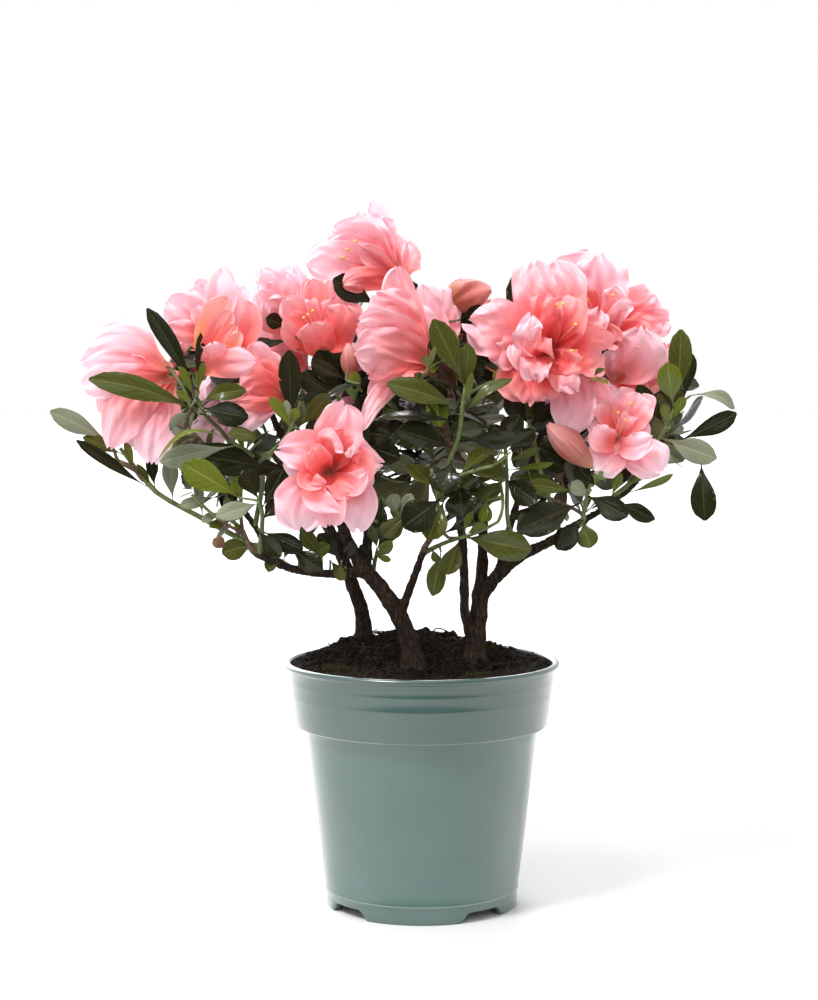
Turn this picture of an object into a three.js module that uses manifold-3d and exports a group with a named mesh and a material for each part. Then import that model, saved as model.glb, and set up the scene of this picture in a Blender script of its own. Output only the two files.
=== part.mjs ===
// Azalea shrub in its plastic pot: pot, soil, stems, boughs and masses of foliage and blossom.
// Millimetres, +Z up. The origin is on the ground at the pot's axis, -Y is the front.

import * as THREE from 'three';
import { mergeVertices } from 'three/addons/utils/BufferGeometryUtils.js';
import Module from 'manifold-3d';

const wasm = await Module();
wasm.setup();

// Clearances

const GAP = 0.32;
const ROOT_GAP = 0.36;
const CELL_MARGIN = 0.5;
const LIMB_CLEARANCE = 0.6;
const SLIVER = 0.06;
const WELD = 0.0005;
const FUSE_ATTEMPTS = 5;

// Pot

const POT = {
  segments: 32,
  footRadius: 45.1,
  footRound: 1.2,
  footRing: 3.5,
  seamHeight: 8.5,
  seamRadius: 45.65,
  bodyHeight: 84.7,
  bodyRadius: 54.9,
  collarHeight: 85.2,
  collarRadius: 59.5,
  collarTopHeight: 112.6,
  collarTopRadius: 62.8,
  lipRadius: 65,
  lipHeight: 115.3,
  lipRoll: 2.3,
  rounding: 0.7,
  wall: 1.9,
  shoulderFall: 3,
  innerDrop: 1,
  floorBottom: 5.2,
  floorTop: 7.4,
};
const CENTRE_FOOT = { radius: 13, sides: 16, height: 6.2 };
const NOTCH = { count: 4, turn: 39.6, height: 4.6, halfBottom: 17, halfTop: 10.7, depth: 9, beyond: 3 };
const DRAIN = { count: 6, ring: 30, radius: 4.2, sides: 8, cut: 12 };

// Soil

const SOIL = {
  rings: 4,
  edgeInset: 0.7,
  edgeHeight: 110,
  mound: 13,
  moundX: -14,
  moundY: 36,
  spreadX: 38,
  spreadY: 25,
  slumpFrom: 44,
  lump: 1.1,
  wallGap: 0.42,
  padRound: 1,
  padCut: 30,
  padSides: 16,
};
// Waves of the soil: their share of a lump, and their turn per mm across and back
const SOIL_WAVES = [
  { share: 1, across: 0.21, back: 0.27, shift: 1.3 },
  { share: 0.6, across: 0.47, back: -0.39, shift: 0 },
];

// Stems: a foot on the soil, then the points of the axis up to the fork

const STEMS = {
  left_back: {
    foot: [-28, 38, 119.5],
    path: [[-29, 36, 134], [-33, 33, 146], [-40, 26, 167]],
    radii: [3.7, 2.9],
    flare: 1.7,
  },
  front: {
    foot: [-3, -6, 112.4],
    path: [[-6, -8, 126], [-11, -10, 138], [-20, -13, 152], [-28, -15.5, 161]],
    radii: [4.7, 3.4],
    flare: 2.2,
  },
  right: {
    foot: [25, 9, 113],
    path: [[26, 9.5, 124], [27, 10.5, 134], [28, 12, 146]],
    radii: [4.4, 3.9],
    flare: 2.4,
  },
};

// Boughs: each starts inside the limb that carries it and ends where it enters its mass

const BOUGHS = {
  left: {
    path: [[-26, -15, 158.5], [-46, -22, 158.5], [-62, -28, 162], [-76, -34, 169]],
    radii: [2.1, 1.6],
  },
  front_left: { path: [[-27, -15, 159.5], [-33, -18, 171], [-38, -24, 184]], radii: [3, 2.2] },
  top: { path: [[-26.5, -14.5, 160], [-25, -11, 178], [-27, -5, 215], [-32, 2, 254]], radii: [2.4, 1.5] },
  low_centre: { path: [[-10.5, -9.8, 137], [-4, -14, 155], [1, -22, 170]], radii: [2.1, 1.5] },
  far_left: {
    path: [[-59, -27, 161], [-80, -26, 173], [-101, -22, 184], [-122, -21, 196], [-131, -21, 206]],
    radii: [1.5, 1.1],
  },
  outer_left: {
    path: [[-66, -30, 163.7], [-79, -24, 184], [-92, -24, 200], [-97, -27, 214]],
    radii: [1.5, 1.2],
  },
  upper_left: {
    path: [[-39.6, 26.3, 166], [-50, 14, 190], [-66, 0, 222], [-76, -5, 244]],
    radii: [2.2, 1.5],
  },
  back_left: { path: [[-39.2, 26.7, 165], [-50, 38, 182], [-62, 48, 200]], radii: [2.3, 1.7] },
  back_top: {
    path: [[-39.8, 26.2, 166.5], [-30, 32, 200], [-10, 36, 232], [0, 38, 252]],
    radii: [2.3, 1.5],
  },
  centre: {
    path: [[25.5, 9.2, 119], [20.5, 5, 137], [20, 3, 158], [18, 0, 182], [13, -10, 212]],
    radii: [2.5, 1.6],
  },
  right: { path: [[28, 12, 145], [44, 4, 162], [62, -5, 173], [75, -12, 182]], radii: [3, 1.9] },
  back_centre: { path: [[28, 12, 145.5], [29, 14, 162], [29, 22, 184], [22, 40, 204]], radii: [2.8, 1.7] },
  upper_right: { path: [[36, 8, 154], [43, 15, 180], [54, 9, 214], [62, 3, 238]], radii: [1.9, 1.4] },
  back_right: { path: [[34, 9, 152], [47, 26, 172], [62, 40, 192]], radii: [2.2, 1.6] },
  far_right: {
    path: [[68, -8, 177.5], [84, -14, 188], [97, -13, 198], [105, -11, 209]],
    radii: [1.6, 1.2],
  },
};

// Masses: each keeps to its own cell of space round its middle, and grows from its bough's tip.
// Shoots at named places carry a rosette of leaves, a bloom or a bud, and "more" seeded ones fill it.

const MASSES = {
  far_left: {
    middle: [-148, -22, 214],
    reach: 32,
    seed: 11,
    more: 1,
    shoots: [
      {
        kind: 'rosette',
        at: [-141, -21, 215],
        leafTips: [[-170, -25, 234], [-158, -30, 224], [-161, -14, 215]],
      },
      { kind: 'rosette', at: [-129, -22, 203], leafTips: [[-158, -27, 219], [-146, -34, 203]] },
    ],
  },
  outer_left: {
    middle: [-119, -30, 240],
    reach: 37,
    seed: 12,
    more: 3,
    shoots: [
      {
        kind: 'rosette',
        at: [-103, -31, 238],
        leafTips: [[-151, -40, 248], [-124, -22, 281], [-80, -44, 247], [-78, -38, 228], [-106, -52, 262]],
      },
      { kind: 'bloom', at: [-134, -25, 237], face: [-0.62, -0.3, -0.72], size: 56 },
      { kind: 'rosette', at: [-114, -34, 214] },
    ],
  },
  upper_left: {
    middle: [-86, -14, 268],
    reach: 38,
    seed: 13,
    more: 4,
    shoots: [
      { kind: 'bloom', at: [-101, -5, 283], face: [-0.25, -0.3, 0.92], size: 40 },
      { kind: 'bloom', at: [-85, -27, 262], face: [0.25, -0.6, 0.75], size: 34 },
      { kind: 'bloom', at: [-76, -30, 241], face: [0.2, -0.6, -0.7], size: 38 },
    ],
  },
  front_left: {
    middle: [-46, -56, 203],
    reach: 40,
    seed: 14,
    more: 5,
    shoots: [
      { kind: 'bloom', at: [-41, -60, 208], face: [0.05, -0.98, 0.1], size: 56 },
      { kind: 'rosette', at: [-62, -48, 232], leafTips: [[-52, -60, 252], [-70, -66, 250]] },
      { kind: 'rosette', at: [-20, -44, 184], leafTips: [[-24, -50, 162], [-34, -52, 168]] },
    ],
  },
  top: {
    middle: [-42, 6, 290],
    reach: 40,
    seed: 15,
    more: 4,
    shoots: [
      { kind: 'bloom', at: [-27, 10, 308], face: [-0.6, -0.25, 0.78], size: 60 },
      { kind: 'bloom', at: [-48, -6, 277], face: [-0.1, -0.65, 0.75], size: 38 },
      { kind: 'bloom', at: [-70, 28, 288], face: [-0.35, 0, 0.93], size: 34 },
      { kind: 'bud', at: [-33, -14, 257], face: [0, -0.4, 0.9], size: 12 },
    ],
  },
  centre: {
    middle: [8, -30, 252],
    reach: 40,
    seed: 16,
    more: 4,
    shoots: [
      { kind: 'bloom', at: [-11, -34, 268], face: [-0.66, -0.35, 0.66], size: 52 },
      { kind: 'bud', at: [8, -6, 279], face: [0.2, -0.2, 0.95], size: 26 },
      { kind: 'bud', at: [19, 2, 289], face: [0.93, 0, 0.3], size: 26 },
      {
        kind: 'rosette',
        at: [19, -31, 234],
        leafTips: [[4, -22, 277], [22, -32, 264], [-18, -46, 247], [40, -36, 248], [14, -50, 208]],
      },
    ],
  },
  upper_right: {
    middle: [74, -6, 272],
    reach: 44,
    seed: 17,
    more: 3,
    shoots: [
      { kind: 'bloom', at: [54, -22, 267], face: [-0.2, -0.95, 0.1], size: 62 },
      { kind: 'bloom', at: [89, 0, 281], face: [0.3, -0.75, 0.55], size: 54 },
      { kind: 'bloom', at: [103, 8, 257], face: [0.75, -0.45, 0.2], size: 38 },
      { kind: 'bloom', at: [68, 22, 286], face: [-0.1, 0.6, 0.75], size: 46 },
    ],
  },
  far_right: {
    middle: [114, -15, 215],
    reach: 38,
    seed: 18,
    more: 2,
    shoots: [
      { kind: 'bloom', at: [90, -26, 221], face: [0.3, -0.93, 0.05], size: 44 },
      { kind: 'bud', at: [67, -30, 219], face: [-0.1, -0.35, 0.9], size: 20 },
      {
        kind: 'rosette',
        at: [113, -10, 220],
        leafTips: [[121, -2, 271], [145, -5, 234], [136, -16, 209], [130, -14, 184], [112, -16, 254]],
      },
      { kind: 'rosette', at: [105, 4, 214] },
    ],
  },
  low_centre: {
    middle: [14, -42, 190],
    reach: 36,
    seed: 19,
    more: 4,
    shoots: [
      { kind: 'rosette', at: [12, -34, 176], leafTips: [[3, -36, 150], [18, -44, 160]] },
      { kind: 'rosette', at: [34, -42, 184], leafTips: [[50, -46, 175], [22, -56, 178]] },
      { kind: 'rosette', at: [4, -50, 208], leafTips: [[-6, -58, 190]] },
    ],
  },
  low_left: {
    bough: 'left',
    middle: [-88, -34, 192],
    reach: 36,
    seed: 20,
    more: 4,
    shoots: [
      { kind: 'rosette', at: [-84, -38, 178], leafTips: [[-96, -44, 168], [-66, -46, 166]] },
      { kind: 'rosette', at: [-104, -38, 196], leafTips: [[-122, -44, 190]] },
    ],
  },
  low_right: {
    bough: 'right',
    middle: [72, -22, 190],
    reach: 34,
    seed: 21,
    more: 3,
    shoots: [
      {
        kind: 'rosette',
        at: [76, -15, 187],
        leafTips: [[107, -16, 187], [44, -24, 181], [61, -20, 171], [82, -30, 172]],
      },
      { kind: 'rosette', at: [52, -30, 196] },
    ],
  },
  back_left: { middle: [-84, 58, 226], reach: 54, seed: 22, more: 6, blooms: 3, shoots: [] },
  back_centre: { middle: [0, 76, 228], reach: 54, seed: 23, more: 6, blooms: 3, shoots: [] },
  back_right: { middle: [84, 58, 224], reach: 54, seed: 24, more: 5, blooms: 3, shoots: [] },
  back_top: { middle: [12, 42, 268], reach: 42, seed: 25, more: 4, blooms: 2, shoots: [] },
};

const LIMB = {
  stemSides: 9,
  stemSteps: 9,
  boughSides: 6,
  boughStep: 14,
  leastSteps: 4,
  samples: 24,
  buried: 6,
};
const FLARE_HEIGHT = 5;
const SOIL_CUTTER = { width: 60, depth: 40 };
const TWIG = {
  root: 1.9,
  tip: 0.95,
  sides: 3,
  stepLength: 24,
  mostSteps: 3,
  bend: 0.34,
  straighten: 1.2,
  runCost: 0.3,
  thin: 0.85,
  forks: [0.35, 0.65, 1],
  nearest: 3,
  tried: 6,
  checks: 8,
  rising: 0.35,
};
// The stem of a mass: from its bough's tip to a hub part of the way to the middle
const HUB = { share: 0.45, sides: 5, steps: 2, radius: 1.7, forks: [0.5, 1], taper: 0.3 };
const LEAF = {
  length: 27,
  width: 12.5,
  thickness: 1,
  widest: 0.57,
  sunk: 0.4,
  step: 3.6,
  faceUp: new THREE.Vector3(0, -0.3, 1),
  turn: 2.39996,
  perRosette: 5,
  perCollar: 2,
  fewest: 2,
  firstStep: 0.4,
  lowest: 0.12,
  tilt: { inner: 0.6, outer: 0.75, vary: 0.25 },
  vary: [0.8, 0.32],
  upward: 0.6,
  lone: { at: 0.45, tilt: 1, share: 0.85 },
  collarEnd: 0.9,
  curl: -0.08,
  fold: 0.06,
  turnsIn: [0, 0.3, 0.6],
  marks: [0.35, 0.65, 0.95],
  room: 6,
};
const BLOOM = {
  lobes: 5,
  profile: [[0, -0.03], [0.15, 0.2], [0.5, 0.45], [0.13, 0.27], [0, 0.1]],
  rimIndex: 2,
  notch: 0.84,
  ruffle: 0.16,
  inner: 2,
  innerTilt: 0.3,
  innerVary: 0.2,
  throat: 0.1,
  shrink: 0.8,
  shrinks: 6,
  petal: { length: 0.42, width: 0.24, thickness: 1.4, widest: 0.62, curl: -0.1, fold: 0.1 },
  depth: 0.45,
  room: 3,
};
const BUD = { round: 6, long: 4, width: 0.6, seat: 0.4 };
// Seeded shoots: how far from the middle, how apart, and how much they keep to the outside
const SEEDED = {
  trials: 10,
  share: 0.72,
  apart: 60,
  outward: 0.35,
  ball: 1.25,
  bloomSize: 46,
  vary: [0.85, 0.3],
};
const CANOPY = {
  left: -171,
  right: 148,
  front: -100,
  back: 126,
  top: 292,
  drop: 62,
  halfWidth: 155,
  shootMargin: 14,
};
const CROWN_MIDDLE = new THREE.Vector3(-8, -4, 205);
const UPTURN = new THREE.Vector3(0, 0, 0.25);

const COLOURS = { pot: 0x71908a, soil: 0x2c211b, bark: 0x54443a, leaf: 0x33502e };

// Small helpers

function vector(list) {
  return new THREE.Vector3(list[0], list[1], list[2]);
}

function makeRandom(seed) {
  let state = seed * 7919;
  return () => {
    state = (Math.imul(state, 1664525) + 1013904223) >>> 0;
    return state / 4294967296;
  };
}

function smooth(from, to, value) {
  const t = Math.min(1, Math.max(0, (value - from) / (to - from)));
  return t * t * (3 - 2 * t);
}

function weld(geometry) {
  geometry.deleteAttribute('normal');
  geometry.deleteAttribute('uv');
  return mergeVertices(geometry, WELD);
}

function toSolid(geometry) {
  const welded = weld(geometry);
  return new wasm.Manifold(new wasm.Mesh({
    numProp: 3,
    vertProperties: new Float32Array(welded.attributes.position.array),
    triVerts: new Uint32Array(welded.index.array),
  }));
}

function toGeometry(solid) {
  const mesh = solid.getMesh();
  const geometry = new THREE.BufferGeometry();
  geometry.setAttribute('position', new THREE.BufferAttribute(new Float32Array(mesh.vertProperties), 3));
  geometry.setIndex(new THREE.BufferAttribute(new Uint32Array(mesh.triVerts), 1));
  return geometry;
}

function joinAll(solids) {
  let whole = solids[0];
  for (const solid of solids.slice(1)) {
    whole = whole.add(solid);
  }
  return whole;
}

// The largest outer shell: scraps and sealed hollows are left behind
function mainBody(solid) {
  const pieces = solid.decompose();
  return pieces.reduce((best, piece) => (piece.volume() > best.volume() ? piece : best));
}

// Slivers along the joins are taken out, and what they held together by a thread falls off
function cleaned(solid) {
  const calm = mainBody(solid).simplify(SLIVER);
  const welded = mergeVertices(toGeometry(calm), 2 * WELD);
  return mainBody(toSolid(welded));
}

function turnedTo(geometry, direction) {
  const turn = new THREE.Quaternion().setFromUnitVectors(new THREE.Vector3(0, 0, 1), direction);
  return geometry.applyQuaternion(turn);
}

function placed(geometry, x, y, z) {
  geometry.translate(x, y, z);
  return geometry;
}

function upright(radius, height, sides, x, y, z) {
  const geometry = new THREE.CylinderGeometry(radius, radius, height, sides);
  geometry.rotateX(Math.PI / 2);
  return placed(geometry, x, y, z + height / 2);
}

// Pot

// The inner wall's corners under the collar, at the shoulder and at the floor
function potInside() {
  return [
    [POT.collarRadius - POT.wall, POT.collarHeight + POT.shoulderFall],
    [POT.bodyRadius - POT.wall, POT.bodyHeight - POT.innerDrop],
    [POT.seamRadius - POT.wall, POT.floorTop],
  ];
}

function potProfile() {
  const p = POT;
  const outside = [
    [p.footRadius - p.footRing, 0],
    [p.footRadius - p.footRound, 0],
    [p.footRadius, p.footRound],
    [p.seamRadius, p.seamHeight],
    [p.bodyRadius, p.bodyHeight],
    [p.collarRadius - p.rounding, p.collarHeight],
    [p.collarRadius, p.collarHeight + p.rounding],
    [p.collarTopRadius, p.collarTopHeight],
    [p.lipRadius - p.rounding, p.lipHeight - p.lipRoll],
    [p.lipRadius, p.lipHeight - p.lipRoll / 2],
    [p.lipRadius - p.rounding, p.lipHeight],
  ];
  const inside = [
    [p.collarTopRadius - p.wall, p.lipHeight],
    ...potInside(),
    [0, p.floorTop],
    [0, p.floorBottom],
    [p.seamRadius - p.footRing, p.floorBottom],
  ];
  const loop = [...outside, ...inside, outside[0]];
  return loop.map(([radius, height]) => new THREE.Vector2(radius, height));
}

function notchCutter(angle) {
  const rad = THREE.MathUtils.degToRad;
  const inner = POT.footRadius - NOTCH.depth;
  const outer = POT.footRadius + NOTCH.beyond;
  const shape = new THREE.Shape();
  const low = outer * Math.tan(rad(NOTCH.halfBottom));
  const high = outer * Math.tan(rad(NOTCH.halfTop));
  shape.moveTo(-low, -1);
  shape.lineTo(low, -1);
  shape.lineTo(high, NOTCH.height);
  shape.lineTo(-high, NOTCH.height);
  shape.closePath();
  const geometry = new THREE.ExtrudeGeometry(shape, { depth: outer - inner, bevelEnabled: false });
  geometry.rotateX(Math.PI / 2);
  geometry.translate(0, -inner, 0);
  geometry.rotateZ(angle);
  return toSolid(geometry);
}

function buildPot() {
  const lathe = new THREE.LatheGeometry(potProfile(), POT.segments);
  lathe.rotateX(Math.PI / 2);
  let pot = toSolid(lathe);
  if (pot.volume() < 0) {
    throw new Error('the pot profile runs the wrong way round');
  }
  pot = pot.add(toSolid(upright(CENTRE_FOOT.radius, CENTRE_FOOT.height, CENTRE_FOOT.sides, 0, 0, 0)));
  for (let k = 0; k < NOTCH.count; k += 1) {
    const turn = NOTCH.turn + (360 / NOTCH.count) * k;
    pot = pot.subtract(notchCutter(THREE.MathUtils.degToRad(turn)));
  }
  for (let k = 0; k < DRAIN.count; k += 1) {
    const turn = (2 * Math.PI * k) / DRAIN.count;
    const x = DRAIN.ring * Math.cos(turn);
    const y = DRAIN.ring * Math.sin(turn);
    pot = pot.subtract(toSolid(upright(DRAIN.radius, DRAIN.cut, DRAIN.sides, x, y, 0)));
  }
  return cleaned(pot);
}

// Soil

function soilHeight(x, y) {
  const acrossX = (x - SOIL.moundX) / SOIL.spreadX;
  const acrossY = (y - SOIL.moundY) / SOIL.spreadY;
  const hill = SOIL.mound * Math.exp(-0.5 * (acrossX * acrossX + acrossY * acrossY));
  const radius = Math.hypot(x, y);
  const slump = 1 - smooth(SOIL.slumpFrom, POT.collarTopRadius - POT.wall, radius);
  let lumps = 0;
  for (const wave of SOIL_WAVES) {
    lumps += wave.share * Math.sin(x * wave.across + y * wave.back + wave.shift);
  }
  return SOIL.edgeHeight + (hill + SOIL.lump * lumps) * slump;
}

function buildSoil() {
  const [collar, shoulder, foot] = potInside();
  const edge = POT.collarTopRadius - POT.wall - SOIL.wallGap - SOIL.edgeInset;
  const profile = [[0, foot[1] + GAP]];
  for (const [radius, height] of [foot, shoulder, collar]) {
    profile.push([radius - SOIL.wallGap, height + GAP]);
  }
  for (let k = 0; k < SOIL.rings; k += 1) {
    profile.push([edge * (1 - k / SOIL.rings), SOIL.edgeHeight]);
  }
  profile.push([0, SOIL.edgeHeight]);
  const points = profile.map(([radius, height]) => new THREE.Vector2(radius, height));
  const lathe = new THREE.LatheGeometry(points, POT.segments);
  lathe.rotateX(Math.PI / 2);
  const geometry = weld(lathe);
  const position = geometry.attributes.position;
  for (let i = 0; i < position.count; i += 1) {
    if (position.getZ(i) > SOIL.edgeHeight - 1) {
      position.setZ(i, soilHeight(position.getX(i), position.getY(i)));
    }
  }
  let soil = toSolid(geometry);
  for (const stem of Object.values(STEMS)) {
    const [x, y, z] = stem.foot;
    const radius = stem.radii[0] + stem.flare + SOIL.padRound;
    soil = soil.subtract(toSolid(upright(radius, SOIL.padCut, SOIL.padSides, x, y, z - GAP)));
  }
  return cleaned(soil);
}

// Limbs

function limbCurve(path) {
  return new THREE.CatmullRomCurve3(path.map(vector), false, 'centripetal');
}

// A round limb along a curve, its radius given along its length, its ends moved out by "swell"
function limbSolid(curve, radiusAt, sides, steps, swell) {
  const frames = curve.computeFrenetFrames(steps, false);
  const geometry = weld(new THREE.CylinderGeometry(1, 1, 1, sides, steps));
  const position = geometry.attributes.position;
  for (let i = 0; i < position.count; i += 1) {
    const ring = Math.round((position.getY(i) + 0.5) * steps);
    const along = ring / steps;
    const radius = radiusAt(along) + swell;
    const point = curve.getPointAt(along);
    point.addScaledVector(frames.normals[ring], position.getX(i) * radius);
    point.addScaledVector(frames.binormals[ring], -position.getZ(i) * radius);
    if (ring === 0) {
      point.addScaledVector(frames.tangents[ring], -swell);
    }
    if (ring === steps) {
      point.addScaledVector(frames.tangents[ring], swell);
    }
    position.setXYZ(i, point.x, point.y, point.z);
  }
  const solid = toSolid(geometry);
  if (solid.volume() < 0) {
    throw new Error('a limb is inside out');
  }
  return solid;
}

function stemLimb(name, stem) {
  const [x, y, z] = stem.foot;
  const below = [x, y, z - LIMB.buried];
  const curve = limbCurve([below, ...stem.path]);
  const length = curve.getLength();
  const taper = (t) => THREE.MathUtils.lerp(stem.radii[0], stem.radii[1], t);
  const above = (t) => Math.max(0, t * length - LIMB.buried);
  const radiusAt = (t) => taper(t) + stem.flare * Math.exp(-above(t) / FLARE_HEIGHT);
  const block = new THREE.BoxGeometry(SOIL_CUTTER.width, SOIL_CUTTER.width, SOIL_CUTTER.depth);
  const cutter = toSolid(placed(block, x, y, z - SOIL_CUTTER.depth / 2));
  const whole = (swell) => limbSolid(curve, radiusAt, LIMB.stemSides, LIMB.stemSteps, swell);
  const shape = (swell) => whole(swell).subtract(cutter);
  return { name: `stem_${name}`, curve, radiusAt, solid: shape(0), keepOut: shape(GAP) };
}

function boughLimb(name, bough) {
  const curve = limbCurve(bough.path);
  const radiusAt = (t) => THREE.MathUtils.lerp(bough.radii[0], bough.radii[1], t);
  const steps = Math.max(LIMB.leastSteps, Math.round(curve.getLength() / LIMB.boughStep));
  const shape = (swell) => limbSolid(curve, radiusAt, LIMB.boughSides, steps, swell);
  return { name: `bough_${name}`, curve, radiusAt, solid: shape(0), keepOut: shape(GAP) };
}

function buildLimbs() {
  const limbs = [
    ...Object.entries(STEMS).map(([name, stem]) => stemLimb(name, stem)),
    ...Object.entries(BOUGHS).map(([name, bough]) => boughLimb(name, bough)),
  ];
  limbs.forEach((limb, index) => {
    for (const earlier of limbs.slice(0, index)) {
      limb.solid = limb.solid.subtract(earlier.keepOut);
    }
    limb.solid = cleaned(limb.solid);
    limb.samples = limb.curve.getSpacedPoints(LIMB.samples);
  });
  return limbs;
}

const limbs = buildLimbs();
const keepOut = joinAll(limbs.map((limb) => limb.keepOut));

function limbClearance(point) {
  let least = Infinity;
  for (const limb of limbs) {
    limb.samples.forEach((sample, index) => {
      const gap = sample.distanceTo(point) - limb.radiusAt(index / (limb.samples.length - 1));
      least = Math.min(least, gap);
    });
  }
  return least;
}

// Cells: the space between masses is shared out by their middles and reaches

function cellDepth(name, point) {
  const own = MASSES[name];
  const ownMiddle = vector(own.middle);
  const ownPower = ownMiddle.distanceToSquared(point) - own.reach ** 2;
  let depth = Infinity;
  for (const [otherName, other] of Object.entries(MASSES)) {
    if (otherName !== name) {
      const middle = vector(other.middle);
      const power = middle.distanceToSquared(point) - other.reach ** 2;
      depth = Math.min(depth, (power - ownPower) / (2 * middle.distanceTo(ownMiddle)));
    }
  }
  return depth;
}

function fits(name, points, clearance) {
  for (const point of points) {
    if (cellDepth(name, point) < CELL_MARGIN + clearance) {
      return false;
    }
    if (limbClearance(point) < LIMB_CLEARANCE + clearance) {
      return false;
    }
  }
  return true;
}

// Blades: a leaf or petal is a lens with a pointed outline, its widest place given as a share

function bladeGeometry(size) {
  const geometry = weld(new THREE.SphereGeometry(1, 4, 2));
  const position = geometry.attributes.position;
  for (let i = 0; i < position.count; i += 1) {
    const across = position.getZ(i);
    const along = (1 - position.getX(i)) / 2 + (size.widest - 0.5) * (1 - Math.abs(position.getX(i)));
    const rise = size.curl * along * along + size.fold * Math.abs(across);
    position.setXYZ(
      i,
      along * size.length,
      (across * size.width) / 2,
      (position.getY(i) * size.thickness) / 2 + rise * size.length,
    );
  }
  return geometry;
}

function bladeFrame(start, direction, upHint) {
  const side = new THREE.Vector3().crossVectors(upHint, direction);
  if (side.lengthSq() < 1e-6) {
    side.set(1, 0, 0).cross(direction);
  }
  side.normalize();
  const up = new THREE.Vector3().crossVectors(direction, side);
  return new THREE.Matrix4().makeBasis(direction, side, up).setPosition(start);
}

function verticesOf(geometry) {
  const { position } = geometry.attributes;
  const corner = (_, i) => new THREE.Vector3().fromBufferAttribute(position, i);
  return Array.from({ length: position.count }, corner);
}

// Whether a point lies in the cone that a flower fills, from its foot to its rim
function inFlower(flower, point) {
  const offset = point.clone().sub(flower.base);
  const height = offset.dot(flower.direction);
  const out = Math.sqrt(Math.max(0, offset.lengthSq() - height * height));
  const rim = flower.size * BLOOM.depth;
  return height > 0 && height < rim + BLOOM.room && out < 0.5 * flower.size * (height / rim) + BLOOM.room;
}

function crowded(taken, points) {
  const meets = (point) => (
    taken.flowers.some((flower) => inFlower(flower, point))
    || taken.marks.some((mark) => mark.distanceTo(point) < LEAF.room)
  );
  return points.some(meets);
}

// The canopy's outline, which flowers alone may rise above
function underCanopy(point, margin) {
  const rounding = CANOPY.drop * Math.abs((point.x - CROWN_MIDDLE.x) / CANOPY.halfWidth) ** 4;
  const room = [
    point.x - CANOPY.left,
    CANOPY.right - point.x,
    point.y - CANOPY.front,
    CANOPY.back - point.y,
    CANOPY.top - rounding - point.z,
  ];
  return Math.min(...room) > margin;
}

// A leaf is turned towards the middle of its cell when it would leave it or meet another,
// and is skipped if that fails
function growLeaf(name, taken, base, direction, up, length) {
  const inward = vector(MASSES[name].middle).sub(base).normalize();
  const width = (LEAF.width * length) / LEAF.length;
  const shape = { ...LEAF, length, width };
  for (const turn of LEAF.turnsIn) {
    const aim = direction.clone().lerp(inward, turn).normalize();
    const start = base.clone().addScaledVector(aim, -LEAF.sunk);
    const geometry = bladeGeometry(shape);
    geometry.applyMatrix4(bladeFrame(start, aim, up));
    const marks = LEAF.marks.map((share) => start.clone().addScaledVector(aim, share * length));
    const corners = verticesOf(geometry);
    const inside = corners.every((corner) => underCanopy(corner, 0)) && fits(name, corners, 0);
    if (inside && !crowded(taken, marks)) {
      taken.marks.push(...marks);
      return [toSolid(geometry)];
    }
  }
  return [];
}

// Shoots

function sideways(direction) {
  const helper = Math.abs(direction.z) < 0.9 ? new THREE.Vector3(0, 0, 1) : new THREE.Vector3(1, 0, 0);
  return new THREE.Vector3().crossVectors(helper, direction).normalize();
}

function spread(direction, turn, tilt) {
  const side = sideways(direction).applyAxisAngle(direction, turn);
  return direction.clone().multiplyScalar(Math.cos(tilt)).addScaledVector(side, Math.sin(tilt));
}

// Leaves stand round the end of a twig, the outer ones further down it and spread wider
function growRosette(name, taken, shoot, count, random) {
  const solids = [];
  const { curve } = shoot;
  const length = curve.getLength();
  const back = (k) => (LEAF.step * (k + LEAF.firstStep)) / length;
  const rootOf = (k) => onTwig(curve, Math.max(LEAF.lowest, shoot.end - back(k)));
  const tips = shoot.leafTips ?? [];
  tips.forEach((tip, k) => {
    const base = rootOf(k);
    const reach = vector(tip).sub(base);
    solids.push(...growLeaf(name, taken, base, reach.clone().normalize(), LEAF.faceUp, reach.length()));
  });
  const start = random() * 2 * Math.PI;
  const { inner, outer, vary } = LEAF.tilt;
  const up = shoot.direction.clone().add(new THREE.Vector3(0, 0, LEAF.upward));
  for (let k = 0; k < count; k += 1) {
    const tilt = inner + outer * (k / count) + vary * random();
    const leafLength = LEAF.length * (LEAF.vary[0] + LEAF.vary[1] * random());
    const aim = spread(shoot.direction, start + k * LEAF.turn, tilt);
    solids.push(...growLeaf(name, taken, rootOf(k + tips.length), aim, up, leafLength));
  }
  return solids;
}

// A bloom is a funnel with five lobes, and a few petals that stand in its throat
function bloomFunnel(name, shoot, random) {
  const { direction, size } = shoot;
  const profile = BLOOM.profile.map(([radius, height]) => new THREE.Vector2(radius * size, height * size));
  const lathe = new THREE.LatheGeometry(profile, BLOOM.lobes * 2);
  lathe.rotateX(Math.PI / 2);
  lathe.rotateZ(random() * Math.PI);
  const geometry = weld(lathe);
  turnedTo(geometry, direction);
  const position = geometry.attributes.position;
  const rim = BLOOM.profile[BLOOM.rimIndex][0] * size;
  let lobe = 0;
  for (let i = 0; i < position.count; i += 1) {
    const point = new THREE.Vector3().fromBufferAttribute(position, i);
    const height = point.dot(direction);
    const out = point.clone().addScaledVector(direction, -height);
    if (Math.abs(out.length() - rim) < 1e-3) {
      lobe += 1;
      out.multiplyScalar(lobe % 2 === 0 ? BLOOM.notch : 1);
    }
    const lift = height + (random() - 0.5) * BLOOM.ruffle * out.length();
    point.copy(shoot.base).addScaledVector(direction, lift);
    for (let k = 0; k < BLOOM.shrinks && !fits(name, [point.clone().add(out)], 0); k += 1) {
      out.multiplyScalar(BLOOM.shrink);
    }
    point.add(out);
    position.setXYZ(i, point.x, point.y, point.z);
  }
  return geometry;
}

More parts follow.
